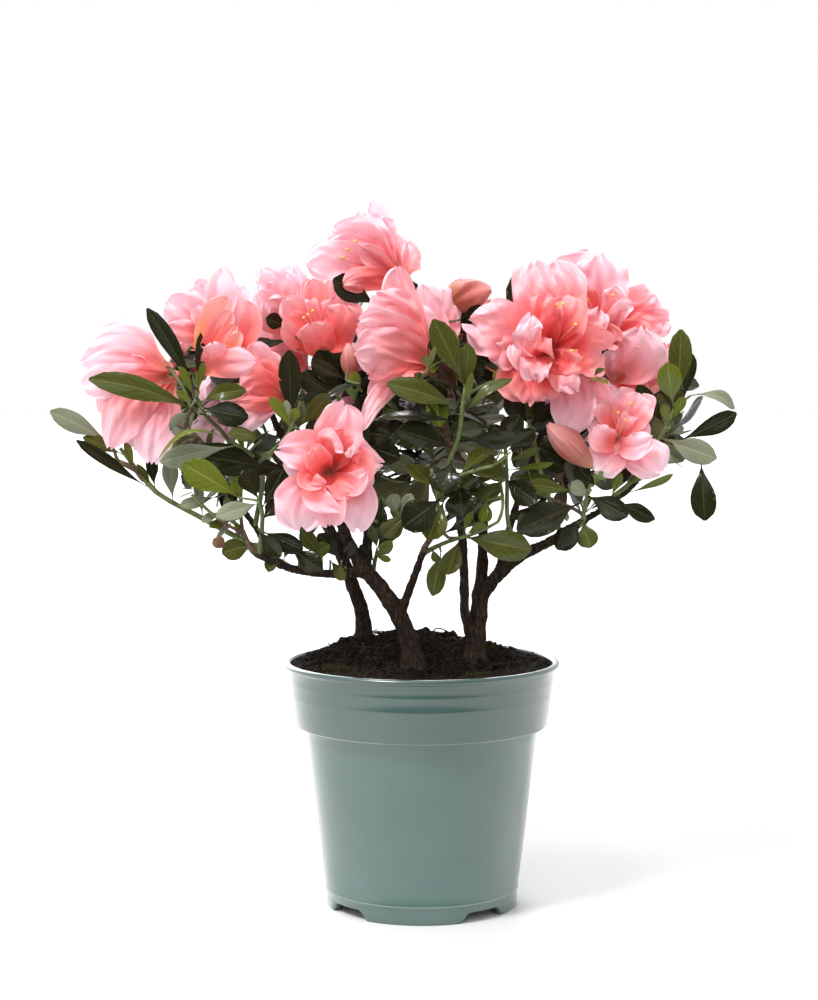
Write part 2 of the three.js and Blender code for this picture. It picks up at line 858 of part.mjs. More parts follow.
function growBloom(name, shoot, random) {
  const { base, direction, size } = shoot;
  const funnel = bloomFunnel(name, shoot, random);
  if (!fits(name, verticesOf(funnel), 0)) {
    return [];
  }
  const solids = [toSolid(funnel)];
  const start = random() * 2 * Math.PI;
  const petal = { ...BLOOM.petal, length: BLOOM.petal.length * size, width: BLOOM.petal.width * size };
  const throat = base.clone().addScaledVector(direction, BLOOM.throat * size);
  for (let k = 0; k < BLOOM.inner; k += 1) {
    const tilt = BLOOM.innerTilt + BLOOM.innerVary * random();
    const aim = spread(direction, start + (k * 2 * Math.PI) / BLOOM.inner, tilt);
    const geometry = bladeGeometry(petal);
    geometry.applyMatrix4(bladeFrame(throat, aim, direction));
    if (fits(name, verticesOf(geometry), 0)) {
      solids.push(toSolid(geometry));
    }
  }
  return solids;
}

function growBud(name, shoot) {
  const { direction, size } = shoot;
  const geometry = weld(new THREE.SphereGeometry(0.5, BUD.round, BUD.long));
  geometry.rotateX(Math.PI / 2);
  geometry.scale(size * BUD.width, size * BUD.width, size);
  geometry.translate(0, 0, size * BUD.seat);
  turnedTo(geometry, direction);
  geometry.translate(shoot.base.x, shoot.base.y, shoot.base.z);
  return fits(name, verticesOf(geometry), 0) ? [toSolid(geometry)] : [];
}

// Twigs

function twigCurve(from, heading, to) {
  const straight = to.clone().sub(from);
  const length = straight.length();
  const leave = heading.clone().addScaledVector(straight, TWIG.straighten / length).normalize();
  const control = from.clone().addScaledVector(leave, length * TWIG.bend);
  return new THREE.QuadraticBezierCurve3(from, control, to);
}

function twigSteps(curve) {
  return Math.max(1, Math.min(TWIG.mostSteps, Math.round(curve.getLength() / TWIG.stepLength)));
}

function twigSolid(curve, startRadius, endRadius) {
  const radiusAt = (t) => THREE.MathUtils.lerp(startRadius, endRadius, t);
  return limbSolid(curve, radiusAt, TWIG.sides, twigSteps(curve), 0);
}

// A place on the twig's axis, which runs straight from ring to ring
function onTwig(curve, t) {
  const steps = twigSteps(curve);
  const ring = Math.min(steps - 1, Math.floor(t * steps));
  const from = curve.getPointAt(ring / steps);
  return from.lerp(curve.getPointAt((ring + 1) / steps), t * steps - ring);
}

// Seeded places for more shoots: the candidate furthest from the others, and towards the outside.
// The highest of them flower
function seededShoots(mass, random, given) {
  const middle = vector(mass.middle);
  const outward = middle.clone().sub(CROWN_MIDDLE).normalize();
  const places = given.map((shoot) => shoot.place);
  const shoots = [];
  for (let k = 0; k < mass.more; k += 1) {
    let best = null;
    let bestScore = -Infinity;
    for (let trial = 0; trial < SEEDED.trials; trial += 1) {
      const offset = new THREE.Vector3(random() - 0.5, random() - 0.5, random() - 0.5).multiplyScalar(2);
      const candidate = middle.clone().addScaledVector(offset, mass.reach * SEEDED.share);
      const nearest = Math.min(SEEDED.apart, ...places.map((place) => place.distanceTo(candidate)));
      const score = nearest + SEEDED.outward * candidate.clone().sub(middle).dot(outward);
      const inside = underCanopy(candidate, CANOPY.shootMargin) && offset.length() < SEEDED.ball;
      if (inside && score > bestScore) {
        best = candidate;
        bestScore = score;
      }
    }
    if (best) {
      const face = best.clone().sub(CROWN_MIDDLE).normalize().add(UPTURN).normalize();
      places.push(best);
      const [least, more] = SEEDED.vary;
      shoots.push({ place: best, face, size: SEEDED.bloomSize * (least + more * random()) });
    }
  }
  shoots.sort((a, b) => b.place.z - a.place.z);
  shoots.forEach((shoot, index) => {
    shoot.kind = index < (mass.blooms ?? 0) ? 'bloom' : 'rosette';
  });
  return shoots;
}

function namedShoots(mass) {
  return mass.shoots.map((shoot) => ({
    ...shoot,
    place: vector(shoot.at),
    face: shoot.face ? vector(shoot.face).normalize() : null,
  }));
}

// Where a shoot's twig ends: at the foot of a bloom or bud, or at the rosette itself
function shootFoot(shoot) {
  if (shoot.kind === 'bloom') {
    return shoot.place.clone().addScaledVector(shoot.face, -shoot.size * BLOOM.depth);
  }
  if (shoot.kind === 'bud') {
    return shoot.place.clone().addScaledVector(shoot.face, -shoot.size * BUD.seat);
  }
  return shoot.place.clone();
}

function joinTwig(name, nodes, foot) {
  const ranked = nodes
    .map((node) => ({ node, cost: node.point.distanceTo(foot) + TWIG.runCost * node.run }))
    .filter(({ node }) => node.point.distanceTo(foot) > TWIG.nearest)
    .sort((a, b) => a.cost - b.cost);
  for (const { node } of ranked.slice(0, TWIG.tried)) {
    const curve = twigCurve(node.point, node.heading, foot);
    if (fits(name, curve.getSpacedPoints(TWIG.checks), TWIG.tip)) {
      return { node, curve };
    }
  }
  return null;
}

// Flowers come first on each mass's twigs, then leaves in the room they leave
function growMass(name) {
  const mass = MASSES[name];
  const random = makeRandom(mass.seed);
  const bough = limbs.find((limb) => limb.name === `bough_${mass.bough ?? name}`);
  const heading = bough.curve.getTangentAt(1);
  const root = bough.curve.getPointAt(1).addScaledVector(heading, ROOT_GAP);
  const given = namedShoots(mass);
  const shoots = [...given, ...seededShoots(mass, random, given)];
  shoots.forEach((shoot) => {
    shoot.base = shootFoot(shoot);
  });
  shoots.sort((a, b) => a.base.distanceTo(root) - b.base.distanceTo(root));
  const twigs = growTwigs(name, shoots, root, heading);
  const grown = shoots.filter((shoot) => shoot.curve);
  const flowers = growFlowers(name, grown, random);
  const taken = { flowers: grown.filter((shoot) => shoot.kind !== 'rosette'), marks: [] };
  const leaves = grown.flatMap((shoot) => growShootLeaves(name, taken, shoot, random));
  return fused([...twigs, ...flowers], leaves);
}

// Places where two surfaces only touch: an edge there belongs to more than two faces
function pinches(solid) {
  const geometry = mergeVertices(toGeometry(solid), 2 * WELD);
  const { position } = geometry.attributes;
  const faces = geometry.index.array;
  const uses = new Map();
  for (let i = 0; i < faces.length; i += 3) {
    for (const [a, b] of [[0, 1], [1, 2], [2, 0]]) {
      const ends = [faces[i + a], faces[i + b]].sort((p, q) => p - q);
      const key = ends.join(' ');
      uses.set(key, { ends, count: (uses.get(key)?.count ?? 0) + 1 });
    }
  }
  const bad = [...uses.values()].filter(({ count }) => count !== 2);
  return bad.map(({ ends }) => new THREE.Vector3().fromBufferAttribute(position, ends[0]));
}

function boxOf(solid) {
  const { min, max } = solid.boundingBox();
  return new THREE.Box3(vector(min), vector(max));
}

// Wood, flowers and leaves as one body. A leaf that only touches its neighbour is left out
function fused(core, leaves) {
  let kept = leaves;
  let body = null;
  for (let attempt = 0; attempt < FUSE_ATTEMPTS; attempt += 1) {
    body = cleaned(joinAll([...core, ...kept]).subtract(keepOut));
    const spots = pinches(body);
    if (spots.length === 0) {
      return body;
    }
    kept = kept.filter((leaf) => !spots.some((spot) => boxOf(leaf).containsPoint(spot)));
  }
  return body;
}

function growTwigs(name, shoots, root, heading) {
  const hub = root.clone().lerp(vector(MASSES[name].middle), HUB.share);
  const stem = twigCurve(root, heading, hub);
  const solids = [limbSolid(stem, () => HUB.radius, HUB.sides, HUB.steps, 0)];
  const nodes = HUB.forks.map((t) => ({
    point: stem.getPointAt(t),
    heading: stem.getTangentAt(t),
    run: t * stem.getLength(),
    radius: TWIG.root * (1 - HUB.taper * t),
  }));
  for (const shoot of shoots) {
    const joint = joinTwig(name, nodes, shoot.base);
    if (joint) {
      const { node, curve } = joint;
      const startRadius = Math.max(TWIG.tip, node.radius * TWIG.thin);
      solids.push(twigSolid(curve, startRadius, TWIG.tip));
      for (const t of TWIG.forks) {
        nodes.push({
          point: onTwig(curve, t),
          heading: curve.getTangentAt(t),
          run: node.run + t * curve.getLength(),
          radius: THREE.MathUtils.lerp(startRadius, TWIG.tip, t),
        });
      }
      shoot.curve = curve;
      const upward = new THREE.Vector3(0, 0, 1);
      shoot.direction = shoot.face ?? curve.getTangentAt(1).lerp(upward, TWIG.rising).normalize();
    }
  }
  return solids;
}

function growFlowers(name, shoots, random) {
  const solids = [];
  for (const shoot of shoots) {
    if (shoot.kind === 'bloom') {
      solids.push(...growBloom(name, shoot, random));
    }
    if (shoot.kind === 'bud') {
      solids.push(...growBud(name, shoot));
    }
  }
  return solids;
}

function growShootLeaves(name, taken, shoot, random) {
  const { curve } = shoot;
  const solids = [];
  if (shoot.kind === 'rosette') {
    const count = Math.max(LEAF.fewest, LEAF.perRosette - (shoot.leafTips ?? []).length);
    solids.push(...growRosette(name, taken, { ...shoot, end: 1 }, count, random));
  } else {
    const collar = { curve, direction: curve.getTangentAt(1), end: LEAF.collarEnd };
    solids.push(...growRosette(name, taken, collar, LEAF.perCollar, random));
  }
  const { at, tilt, share } = LEAF.lone;
  const aim = spread(curve.getTangentAt(at), random() * 2 * Math.PI, tilt);
  solids.push(...growLeaf(name, taken, onTwig(curve, at), aim, LEAF.faceUp, LEAF.length * share));
  return solids;
}

// The whole plant

function addPiece(group, name, solid, colour, roughness) {
  const material = new THREE.MeshStandardMaterial({ color: colour, roughness, metalness: 0 });
  const mesh = new THREE.Mesh(toGeometry(solid), material);
  mesh.name = name;
  group.add(mesh);
}

const azalea = new THREE.Group();
azalea.name = 'azalea_in_pot';
addPiece(azalea, 'pot', buildPot(), COLOURS.pot, 0.4);
addPiece(azalea, 'soil', buildSoil(), COLOURS.soil, 0.95);
for (const limb of limbs) {
  addPiece(azalea, limb.name, limb.solid, COLOURS.bark, 0.85);
}
for (const name of Object.keys(MASSES)) {
  addPiece(azalea, `foliage_${name}`, growMass(name), COLOURS.leaf, 0.5);
}

export default azalea;
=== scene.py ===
# Azalea shrub in its plastic pot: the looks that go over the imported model.
# Lengths are millimetres on the frame's axes, and turn into metres where a mesh is made.

import math

import bpy
import numpy as np
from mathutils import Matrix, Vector, noise


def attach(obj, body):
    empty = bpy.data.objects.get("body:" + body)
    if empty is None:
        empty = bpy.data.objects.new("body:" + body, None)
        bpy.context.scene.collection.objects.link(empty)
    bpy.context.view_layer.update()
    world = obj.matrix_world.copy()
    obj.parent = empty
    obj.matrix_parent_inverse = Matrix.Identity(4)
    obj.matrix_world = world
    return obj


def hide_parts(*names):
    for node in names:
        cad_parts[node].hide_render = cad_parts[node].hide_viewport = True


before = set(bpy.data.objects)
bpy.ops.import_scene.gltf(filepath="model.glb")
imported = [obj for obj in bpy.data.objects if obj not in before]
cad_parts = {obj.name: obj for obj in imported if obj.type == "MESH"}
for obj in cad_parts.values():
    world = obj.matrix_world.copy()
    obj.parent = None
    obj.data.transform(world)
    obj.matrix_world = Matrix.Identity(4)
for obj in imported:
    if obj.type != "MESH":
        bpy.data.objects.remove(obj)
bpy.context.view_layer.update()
MM = 0.001
UP = np.array([0.0, 0.0, 1.0])
BAKE_MAP = "OFBake"

CAMERA = {
    "at": (-5.99, -1000.0, 259.0),
    "pitch": 0.068,
    "focal_px": 2137.4,
    "long_px": 1000,
    "middle_px": (409, 500),
    "sensor": 36.0,
}
EYE = np.array(CAMERA["at"])
TURN = 2 * math.pi

# Pot and soil

POT = {
    "segments": 144,
    "foot_radius": 45.1,
    "foot_round": 1.2,
    "foot_ring": 3.5,
    "seam_height": 8.5,
    "seam_radius": 45.65,
    "body_height": 84.7,
    "body_radius": 54.9,
    "collar_height": 85.2,
    "collar_radius": 59.5,
    "collar_top_height": 112.6,
    "collar_top_radius": 62.8,
    "lip_radius": 65.0,
    "lip_height": 115.3,
    "wall": 1.3,
    "floor_bottom": 5.2,
    "floor_top": 7.4,
    "scuffed": ((85.6, 0.22, 0.9), (8.6, 0.2, 0.8)),
    "ridges": ((92.0, 0), (99.4, 0), (100.0, 0.14), (100.6, 0), (106.0, 0), (106.6, 0.12), (107.2, 0)),
}
CENTRE_FOOT = 13.0
NOTCH = {"count": 4, "turn": 39.6, "height": 4.6, "half_bottom": 17.0, "half_top": 10.7}
DRAIN = {"count": 6, "ring": 30.0, "radius": 4.2, "turn": 0.0, "sides": 32}
SOIL = {
    "edge_height": 110.0,
    "edge_radius": 60.9,
    "rim_lift": 3.6,
    "mound": 13.0,
    "mound_at": (-14.0, 36.0),
    "spread": (38.0, 25.0),
    "slump_from": 44.0,
    "inside": ((0.3, 7.8), (42.4, 7.8), (42.8, 12.0), (51.6, 82.0), (56.0, 89.0)),
    "rings": 110,
    "sides": 190,
}

# The compost's lumps as size and depth, its level at the stems, and what lies on it
COMPOST = {
    "lumps": ((7, 3.4), (2.6, 2.3), (1.1, 0.7)),
    "flat_share": 0.25,
    "rim_from": 30,
    "foot_spread": 90,
    "foot_sunk": 0.3,
    "colours": ((0.003, 0.0023, 0.0017), (0.015, 0.0105, 0.0075)),
    "crumbs": 1500,
    "crumb_colours": ((0.005, 0.0036, 0.0026), (0.028, 0.019, 0.013)),
    "fibres": 80,
    "fibre_colours": ((0.012, 0.008, 0.005), (0.055, 0.036, 0.023)),
    "moss": (((-38, -20), 170, 8), ((26, -30), 130, 7), ((34, 30), 60, 7)),
    "moss_colours": ((0.008, 0.009, 0.003), (0.035, 0.038, 0.01)),
}

# Limbs, as in the part: foot on the soil, points of the axis, radii at both ends

STEMS = {
    "left_back": {
        "foot": (-28, 38, 119.5),
        "path": [(-29, 36, 134), (-33, 33, 146), (-40, 26, 167)],
        "radii": (3.7, 2.9),
        "flare": 1.7,
    },
    "front": {
        "foot": (-3, -6, 112.4),
        "path": [(-6, -8, 126), (-11, -10, 138), (-20, -13, 152), (-28, -15.5, 161)],
        "radii": (4.7, 3.4),
        "flare": 2.2,
    },
    "right": {
        "foot": (25, 9, 113),
        "path": [(26, 9.5, 124), (27, 10.5, 134), (28, 12, 146)],
        "radii": (4.4, 3.9),
        "flare": 2.4,
    },
}

# How far a stem goes below the soil, the height over which its flare fades, and its roots
STEM = {"sunk": 6, "flare_run": 5, "roots": 5, "root_reach": (8, 13), "root_share": 0.55}
BOUGHS = {
    "left": {
        "path": [(-26, -15, 158.5), (-46, -22, 158.5), (-62, -28, 162), (-76, -34, 169)],
        "radii": (2.1, 1.6),
    },
    "front_left": {"path": [(-27, -15, 159.5), (-33, -18, 171), (-38, -24, 184)], "radii": (3, 2.2)},
    "top": {
        "path": [(-26.5, -14.5, 160), (-25, -11, 178), (-27, -5, 215), (-32, 2, 254)],
        "radii": (2.4, 1.5),
    },
    "low_centre": {"path": [(-10.5, -9.8, 137), (-4, -14, 155), (1, -22, 170)], "radii": (2.1, 1.5)},
    "far_left": {
        "path": [(-59, -27, 161), (-80, -26, 173), (-101, -22, 184), (-122, -21, 196), (-131, -21, 206)],
        "radii": (1.5, 1.1),
        "green": True,
    },
    "outer_left": {
        "path": [(-66, -30, 163.7), (-79, -24, 184), (-92, -24, 200), (-97, -27, 214)],
        "radii": (1.5, 1.2),
    },
    "upper_left": {
        "path": [(-39.6, 26.3, 166), (-50, 14, 190), (-66, 0, 222), (-76, -5, 244)],
        "radii": (2.2, 1.5),
    },
    "back_left": {"path": [(-39.2, 26.7, 165), (-50, 38, 182), (-62, 48, 200)], "radii": (2.3, 1.7)},
    "back_top": {
        "path": [(-39.8, 26.2, 166.5), (-30, 32, 200), (-10, 36, 232), (0, 38, 252)],
        "radii": (2.3, 1.5),
    },
    "centre": {
        "path": [(25.5, 9.2, 119), (20.5, 5, 137), (20, 3, 158), (18, 0, 182), (13, -10, 212)],
        "radii": (2.5, 1.6),
    },
    "right": {"path": [(28, 12, 145), (44, 4, 162), (62, -5, 173), (75, -12, 182)], "radii": (3, 1.9)},
    "back_centre": {
        "path": [(28, 12, 145.5), (29, 14, 162), (29, 22, 184), (22, 40, 204)],
        "radii": (2.8, 1.7),
    },
    "upper_right": {"path": [(36, 8, 154), (43, 15, 180), (54, 9, 214), (62, 3, 238)], "radii": (1.9, 1.4)},
    "back_right": {"path": [(34, 9, 152), (47, 26, 172), (62, 40, 192)], "radii": (2.2, 1.6)},
    "far_right": {
        "path": [(68, -8, 177.5), (84, -14, 188), (97, -13, 198), (105, -11, 209)],
        "radii": (1.6, 1.2),
    },
}


def rosette(at, tint=None):
    return {"kind": "rosette", "at": at, "tint": tint}


def bloom(at, face, size, opened=0.85, tint="pink", inner=6, form=None):
    return {
        "form": form,
        "kind": "bloom",
        "at": at,
        "face": face,
        "size": size,
        "open": opened,
        "tint": tint,
        "inner": inner,
    }


def bud(at, face, size, tint="coral", form=None):
    return {"kind": "bud", "at": at, "face": face, "size": size, "tint": tint, "form": form}


# The flowers that the photograph shows. A place is its column and row in the photograph and its
# depth in mm. "foot" is where the tube starts. Each petal has its middle, its tip, half its width
# in mm, how far its edges turn towards the camera in radians, its tint, and where it is given, how
# blunt its tip is. A bud has its tip and half its width instead.
# "opened" and "frill" say how far the funnel opens and how deep its folds are. "reach" is the share
# of the outer petals' reach that the petals behind them have, and "collar" the number of leaves
# behind the flower. Each of "stamens" is an anther's place.

FLOWERS = {
    "hanging": {
        "foot": (173, 377, -17), "opened": 0.5, "frill": 0.6,
        "petals": [
            ((130, 343, -12), (92, 346, -14), 8.5, -0.5, "pale"),
            ((128, 356, -24), (82, 362, -30), 9, -0.6, "pale"),
            ((125, 380, -30), (83, 386, -34), 8, -0.5, "pale"),
            ((134, 400, -30), (110, 448, -34), 10, -0.5, "pink", 1.9),
            ((158, 420, -26), (152, 463, -30), 9.0, -0.4, "pale", 2.0),
            ((166, 400, -12), (168, 432, -6), 6, -0.5, "pink"),
        ],
    },
    "left_pale": {
        "foot": (214, 346, 0), "opened": 0.5,
        "petals": [
            ((205, 300, 8), (196, 288, 12), 7, 0.5, "pale"),
            ((221, 306, 0), (224, 268, 2), 6.2, 0.5, "pale"),
            ((236, 312, 4), (240, 286, 8), 4.5, 0.6, "pale"),
            ((190, 316, -4), (167, 300, -6), 8.5, 0.5, "pale"),
            ((190, 333, -9), (166, 326, -12), 5.5, -0.4, "pink"),
            ((204, 324, -8), (196, 307, -10), 4.5, 0.8, "pink"),
        ],
    },
    "left_cup": {
        "foot": (204, 370, -22), "opened": 0.3, "frill": 0.55,
        "petals": [
            ((208, 330, -22), (228, 297, -24), 6.5, 0.7, "apricot"),
            ((246, 335, -24), (246, 301, -26), 5.5, 0.8, "coral"),
            ((213, 342, -28), (231, 311, -30), 5.5, 0.7, "coral"),
            ((230, 348, -30), (238, 331, -32), 3.6, 0.9, "apricot"),
            ((226, 338, -28), (234, 324, -30), 3.0, 0.9, "apricot"),
            ((214, 356, -34), (212, 343, -39), 6, -0.6, "pink"),
            ((228, 364, -36), (255, 361, -39), 6.5, -0.6, "pink"),
        ],
    },
    "left_low": {
        "foot": (287, 402, -22),
        "petals": [
            ((276, 376, -22), (268, 352, -22), 5, -0.5, "pink"),
            ((266, 368, -28), (253, 343, -30), 6, -0.5, "pink"),
            ((262, 402, -30), (230, 432, -32), 8, -0.5, "pale"),
            ((252, 396, -32), (219, 396, -34), 5.5, -0.4, "pink"),
            ((262, 382, -34), (240, 388, -38), 6.5, -0.6, "coral"),
            ((260, 404, -36), (238, 403, -40), 3.5, -0.6, "coral"),
        ],
    },
    "back_pale": {
        "foot": (287, 328, 26), "opened": 0.5,
        "petals": [
            ((298, 300, 32), (305, 279, 36), 7, 0.5, "pale"),
            ((290, 292, 28), (294, 266, 30), 7, 0.5, "pale"),
            ((275, 292, 22), (262, 269, 20), 6.5, 0.5, "pale"),
            ((270, 306, 16), (256, 293, 12), 6, 0.5, "pale"),
            ((283, 310, 12), (268, 301, 6), 5.5, 0.4, "pink"),
            ((266, 325, 10), (263, 303, 6), 3.4, -0.4, "pink"),
        ],
    },
    "coral_cup": {
        "foot": (322, 350, 5), "opened": 0.3, "frill": 0.5,
        "petals": [
            ((316, 305, 8), (312, 279, 10), 6, 0.7, "coral"),
            ((336, 302, 8), (332, 278, 8), 5, 0.6, "pink"),
            ((298, 315, 0), (284, 300, -4), 6.5, 0.7, "pink"),
            ((348, 320, -2), (351, 304, -2), 5, 0.6, "coral"),
            ((314, 312, -4), (311, 300, -6), 3.2, 0.8, "pink"),
            ((340, 328, -10), (344, 305, -14), 9, -0.8, "coral"),
            ((318, 340, -14), (312, 323, -20), 8.5, -0.8, "coral"),
            ((300, 342, -8), (284, 325, -14), 5, -0.7, "coral"),
        ],
        "stamens": [(308, 315, -10), (313, 311, -8), (304, 318, -10)],
    },
    "top": {
        "foot": (403, 284, 17), "opened": 0.5, "frill": 1.15,
        "petals": [
            ((384, 238, 22), (373, 202, 26), 6, 0.5, "pale", 1.6),
            ((388, 238, 20), (386, 217, 20), 4.5, 0.6, "pale"),
            ((404, 262, 22), (407, 241, 26), 8, -0.5, "pink"),
            ((375, 242, 14), (362, 214, 16), 8.5, 0.5, "pale"),
            ((365, 248, 8), (332, 230, 6), 10.5, 0.5, "pale"),
            ((352, 263, 0), (307, 264, -6), 9.5, 0.5, "pale"),
            ((370, 279, -2), (343, 284, -8), 5.5, -0.5, "coral"),
            ((378, 262, 4), (362, 248, 0), 5, 0.6, "pink"),
        ],
        "stamens": [(348, 250, -6), (356, 242, -4), (344, 258, -6)],
    },
    "open_left": {
        "foot": (438, 370, -26), "opened": 0.5, "frill": 1.15,
        "petals": [
            # Painted highlight: this pale petal stands for a white highlight streak on the side of the tube.
            ((420, 328, -20), (405, 304, -16), 8, -0.5, "pale"),
            ((405, 308, -28), (397, 267, -30), 7.5, 0.5, "pink", 1.8),
            ((400, 322, -34), (376, 294, -36), 10, 0.4, "pink"),
            ((398, 336, -40), (358, 324, -46), 9.5, 0.4, "pink"),
            ((396, 352, -42), (355, 352, -50), 10.5, -0.4, "pink"),
            ((402, 364, -38), (368, 376, -44), 7.5, -0.4, "coral"),
            ((392, 384, -36), (362, 430, -44), 4.5, -0.5, "pink", 1.8),
        ],
    },
    "pale_closed": {
        "foot": (449, 350, -6), "opened": 0.1, "frill": 0.6,
        "petals": [
            ((438, 318, 0), (430, 288, 2), 5.5, -0.7, "pink"),
            ((450, 318, -4), (443, 289, -6), 5.5, -0.8, "pale"),
            ((432, 315, -10), (420, 286, -12), 6.5, -0.8, "pale"),
            ((420, 324, -12), (408, 303, -14), 5.5, -0.6, "apricot"),
        ],
    },
    "big": {
        "foot": (546, 352, 4), "frill": 1.2, "reach": 0.72, "collar": 6,
        "petals": [
            ((592, 398, -8), (587, 427, -4), 8.5, 0.3, "pale"),
            ((572, 396, -14), (566, 438, -16), 9.5, 0.4, "pale", 1.8),
            ((562, 296, -10), (556, 262, -4), 10.5, 0.4, "pink"),
            ((537, 304, -20), (533, 264, -16), 10.0, 0.4, "pink"),
            ((506, 332, -26), (471, 322, -24), 13.5, 0.3, "pink", 2.2),
            ((512, 350, -24), (490, 350, -22), 8.0, 0.3, "pink", 2.2),
            ((526, 378, -22), (526, 403, -26), 11.5, 0.3, "coral"),
            ((545, 382, -24), (548, 399, -28), 8.0, 0.3, "coral"),
            ((586, 326, -14), (598, 312, -10), 7.5, 0.7, "pink"),
            ((580, 350, -24), (603, 352, -22), 11.5, 0.6, "coral"),
            ((562, 324, -30), (566, 296, -30), 10.5, 0.8, "coral"),
            ((545, 322, -28), (546, 296, -28), 8.5, 0.8, "coral"),
            ((566, 362, -36), (580, 360, -38), 6.5, 0.9, "coral"),
            ((560, 374, -38), (575, 391, -40), 6.0, -0.6, "pink"),
            ((536, 362, -40), (536, 380, -44), 7.0, 0.7, "pink"),
            ((536, 354, -38), (541, 338, -40), 7.5, 0.9, "coral"),
            ((526, 364, -38), (513, 345, -42), 5.0, 0.9, "pink"),
            # Painted highlight: this pale inner petal stands for a white highlight in the flower's middle.
            ((530, 342, -40), (532, 315, -44), 6.5, -0.7, "pale"),
        ],
        "stamens": [(563, 305, -38), (575, 325, -40), (571, 351, -44), (557, 306, -36)],
    },
    "behind_right": {
        "foot": (602, 345, 16), "frill": 1.15,
        "petals": [
            ((586, 290, 12), (577, 262, 16), 8, 0.4, "pale"),
            ((602, 294, 6), (600, 256, 6), 12.5, 0.4, "pale"),
            ((637, 310, 4), (656, 299, 4), 9.5, 0.4, "pink"),
            ((646, 325, 0), (668, 322, -2), 7, 0.4, "pink"),
            ((590, 302, -2), (588, 289, -6), 4.5, 0.8, "coral"),
            ((614, 310, -4), (613, 287, -8), 6.5, 0.7, "pink"),
            ((632, 332, -6), (648, 340, -10), 6.5, 0.4, "coral"),
            ((616, 316, -10), (631, 304, -14), 4.2, 0.7, "pale"),
            ((586, 318, -4), (595, 312, -8), 3.6, 0.7, "coral"),
            ((608, 336, -10), (616, 342, -14), 6, 0.7, "coral"),
        ],
        "stamens": [(613, 296, -14), (588, 300, -12), (622, 304, -14)],
    },
    "right_pale": {
        "foot": (614, 378, 14), "opened": 0.45, "frill": 0.7,
        "petals": [
            ((656, 362, 6), (666, 344, 6), 7.5, 0.5, "coral"),
            ((642, 376, 10), (662, 386, 14), 7, 0.4, "coral"),
            ((630, 386, 2), (648, 394, 2), 5, 0.3, "coral"),
            ((608, 364, -2), (612, 351, -6), 3.6, 0.6, "pale"),
            ((637, 358, -8), (642, 328, -12), 11.5, -0.6, "pale"),
        ],
    },
    "low_right": {
        "foot": (617, 440, -15), "frill": 0.75, "collar": 5,
        "petals": [
            ((598, 396, -4), (606, 379, 0), 7.5, 0.4, "pale"),
            ((632, 412, -20), (638, 393, -18), 9.5, 0.6, "pink"),
            ((606, 414, -20), (599, 404, -20), 4.5, 0.6, "pink"),
            ((606, 457, -26), (593, 470, -28), 8.8, -0.3, "pale"),
            ((644, 456, -26), (663, 471, -28), 8.8, -0.3, "pale"),
            ((632, 447, -30), (652, 437, -32), 5.5, 0.5, "pale"),
            ((604, 440, -30), (596, 426, -32), 6, 0.5, "pink"),
        ],
        "stamens": [(618, 413, -26), (630, 404, -26), (625, 420, -28)],
    },
    "front": {
        "foot": (328, 472, -60), "frill": 0.85, "reach": 0.8, "collar": 7,
        "petals": [
            ((302, 500, -72), (302, 530, -68), 11.0, -0.3, "pale", 2.9),
            ((356, 498, -72), (357, 530, -68), 8.0, -0.3, "pale", 1.8),
            ((337, 438, -74), (346, 404, -72), 10.5, 0.4, "pink", 1.5),
            ((310, 452, -74), (278, 449, -70), 9.0, 0.4, "pink", 1.5),
            ((354, 464, -74), (382, 464, -68), 9.5, 0.4, "pink", 1.5),
            ((330, 498, -78), (330, 525, -78), 6.5, 0.3, "pink", 2.4),
            ((346, 470, -74), (356, 492, -82), 12.0, 0.6, "coral", 2.6),
            ((336, 452, -74), (344, 430, -82), 11.0, 0.6, "coral", 2.4),
            ((352, 484, -82), (365, 472, -86), 5.0, 0.6, "pink", 2.0),
            ((326, 442, -84), (343, 450, -88), 5.2, -0.7, "pink", 2.0),
            ((351, 444, -84), (350, 457, -88), 4.6, -0.6, "pink", 2.0),
            ((308, 480, -84), (323, 485, -88), 5.0, 0.8, "coral", 2.2),
            ((315, 495, -84), (340, 511, -90), 5.2, 0.5, "pink", 2.0),
            ((318, 460, -82), (312, 447, -86), 6.0, 0.8, "coral", 2.0),
        ],
    },
    "small_bud": {"foot": (352, 381, -14), "tip": (348, 343, -16), "half": 4.3},
    "top_bud": {"foot": (440, 301, 2), "tip": (491, 289, 0), "half": 8.2},
    "low_bud": {"foot": (592, 467, -27), "tip": (548, 424, -31), "half": 6.6},
}


# Masses, as in the part: "more" shoots are the part's own seeded ones, "fine" the ones added here,
# and "leaves" the leaves round each shoot's tip.

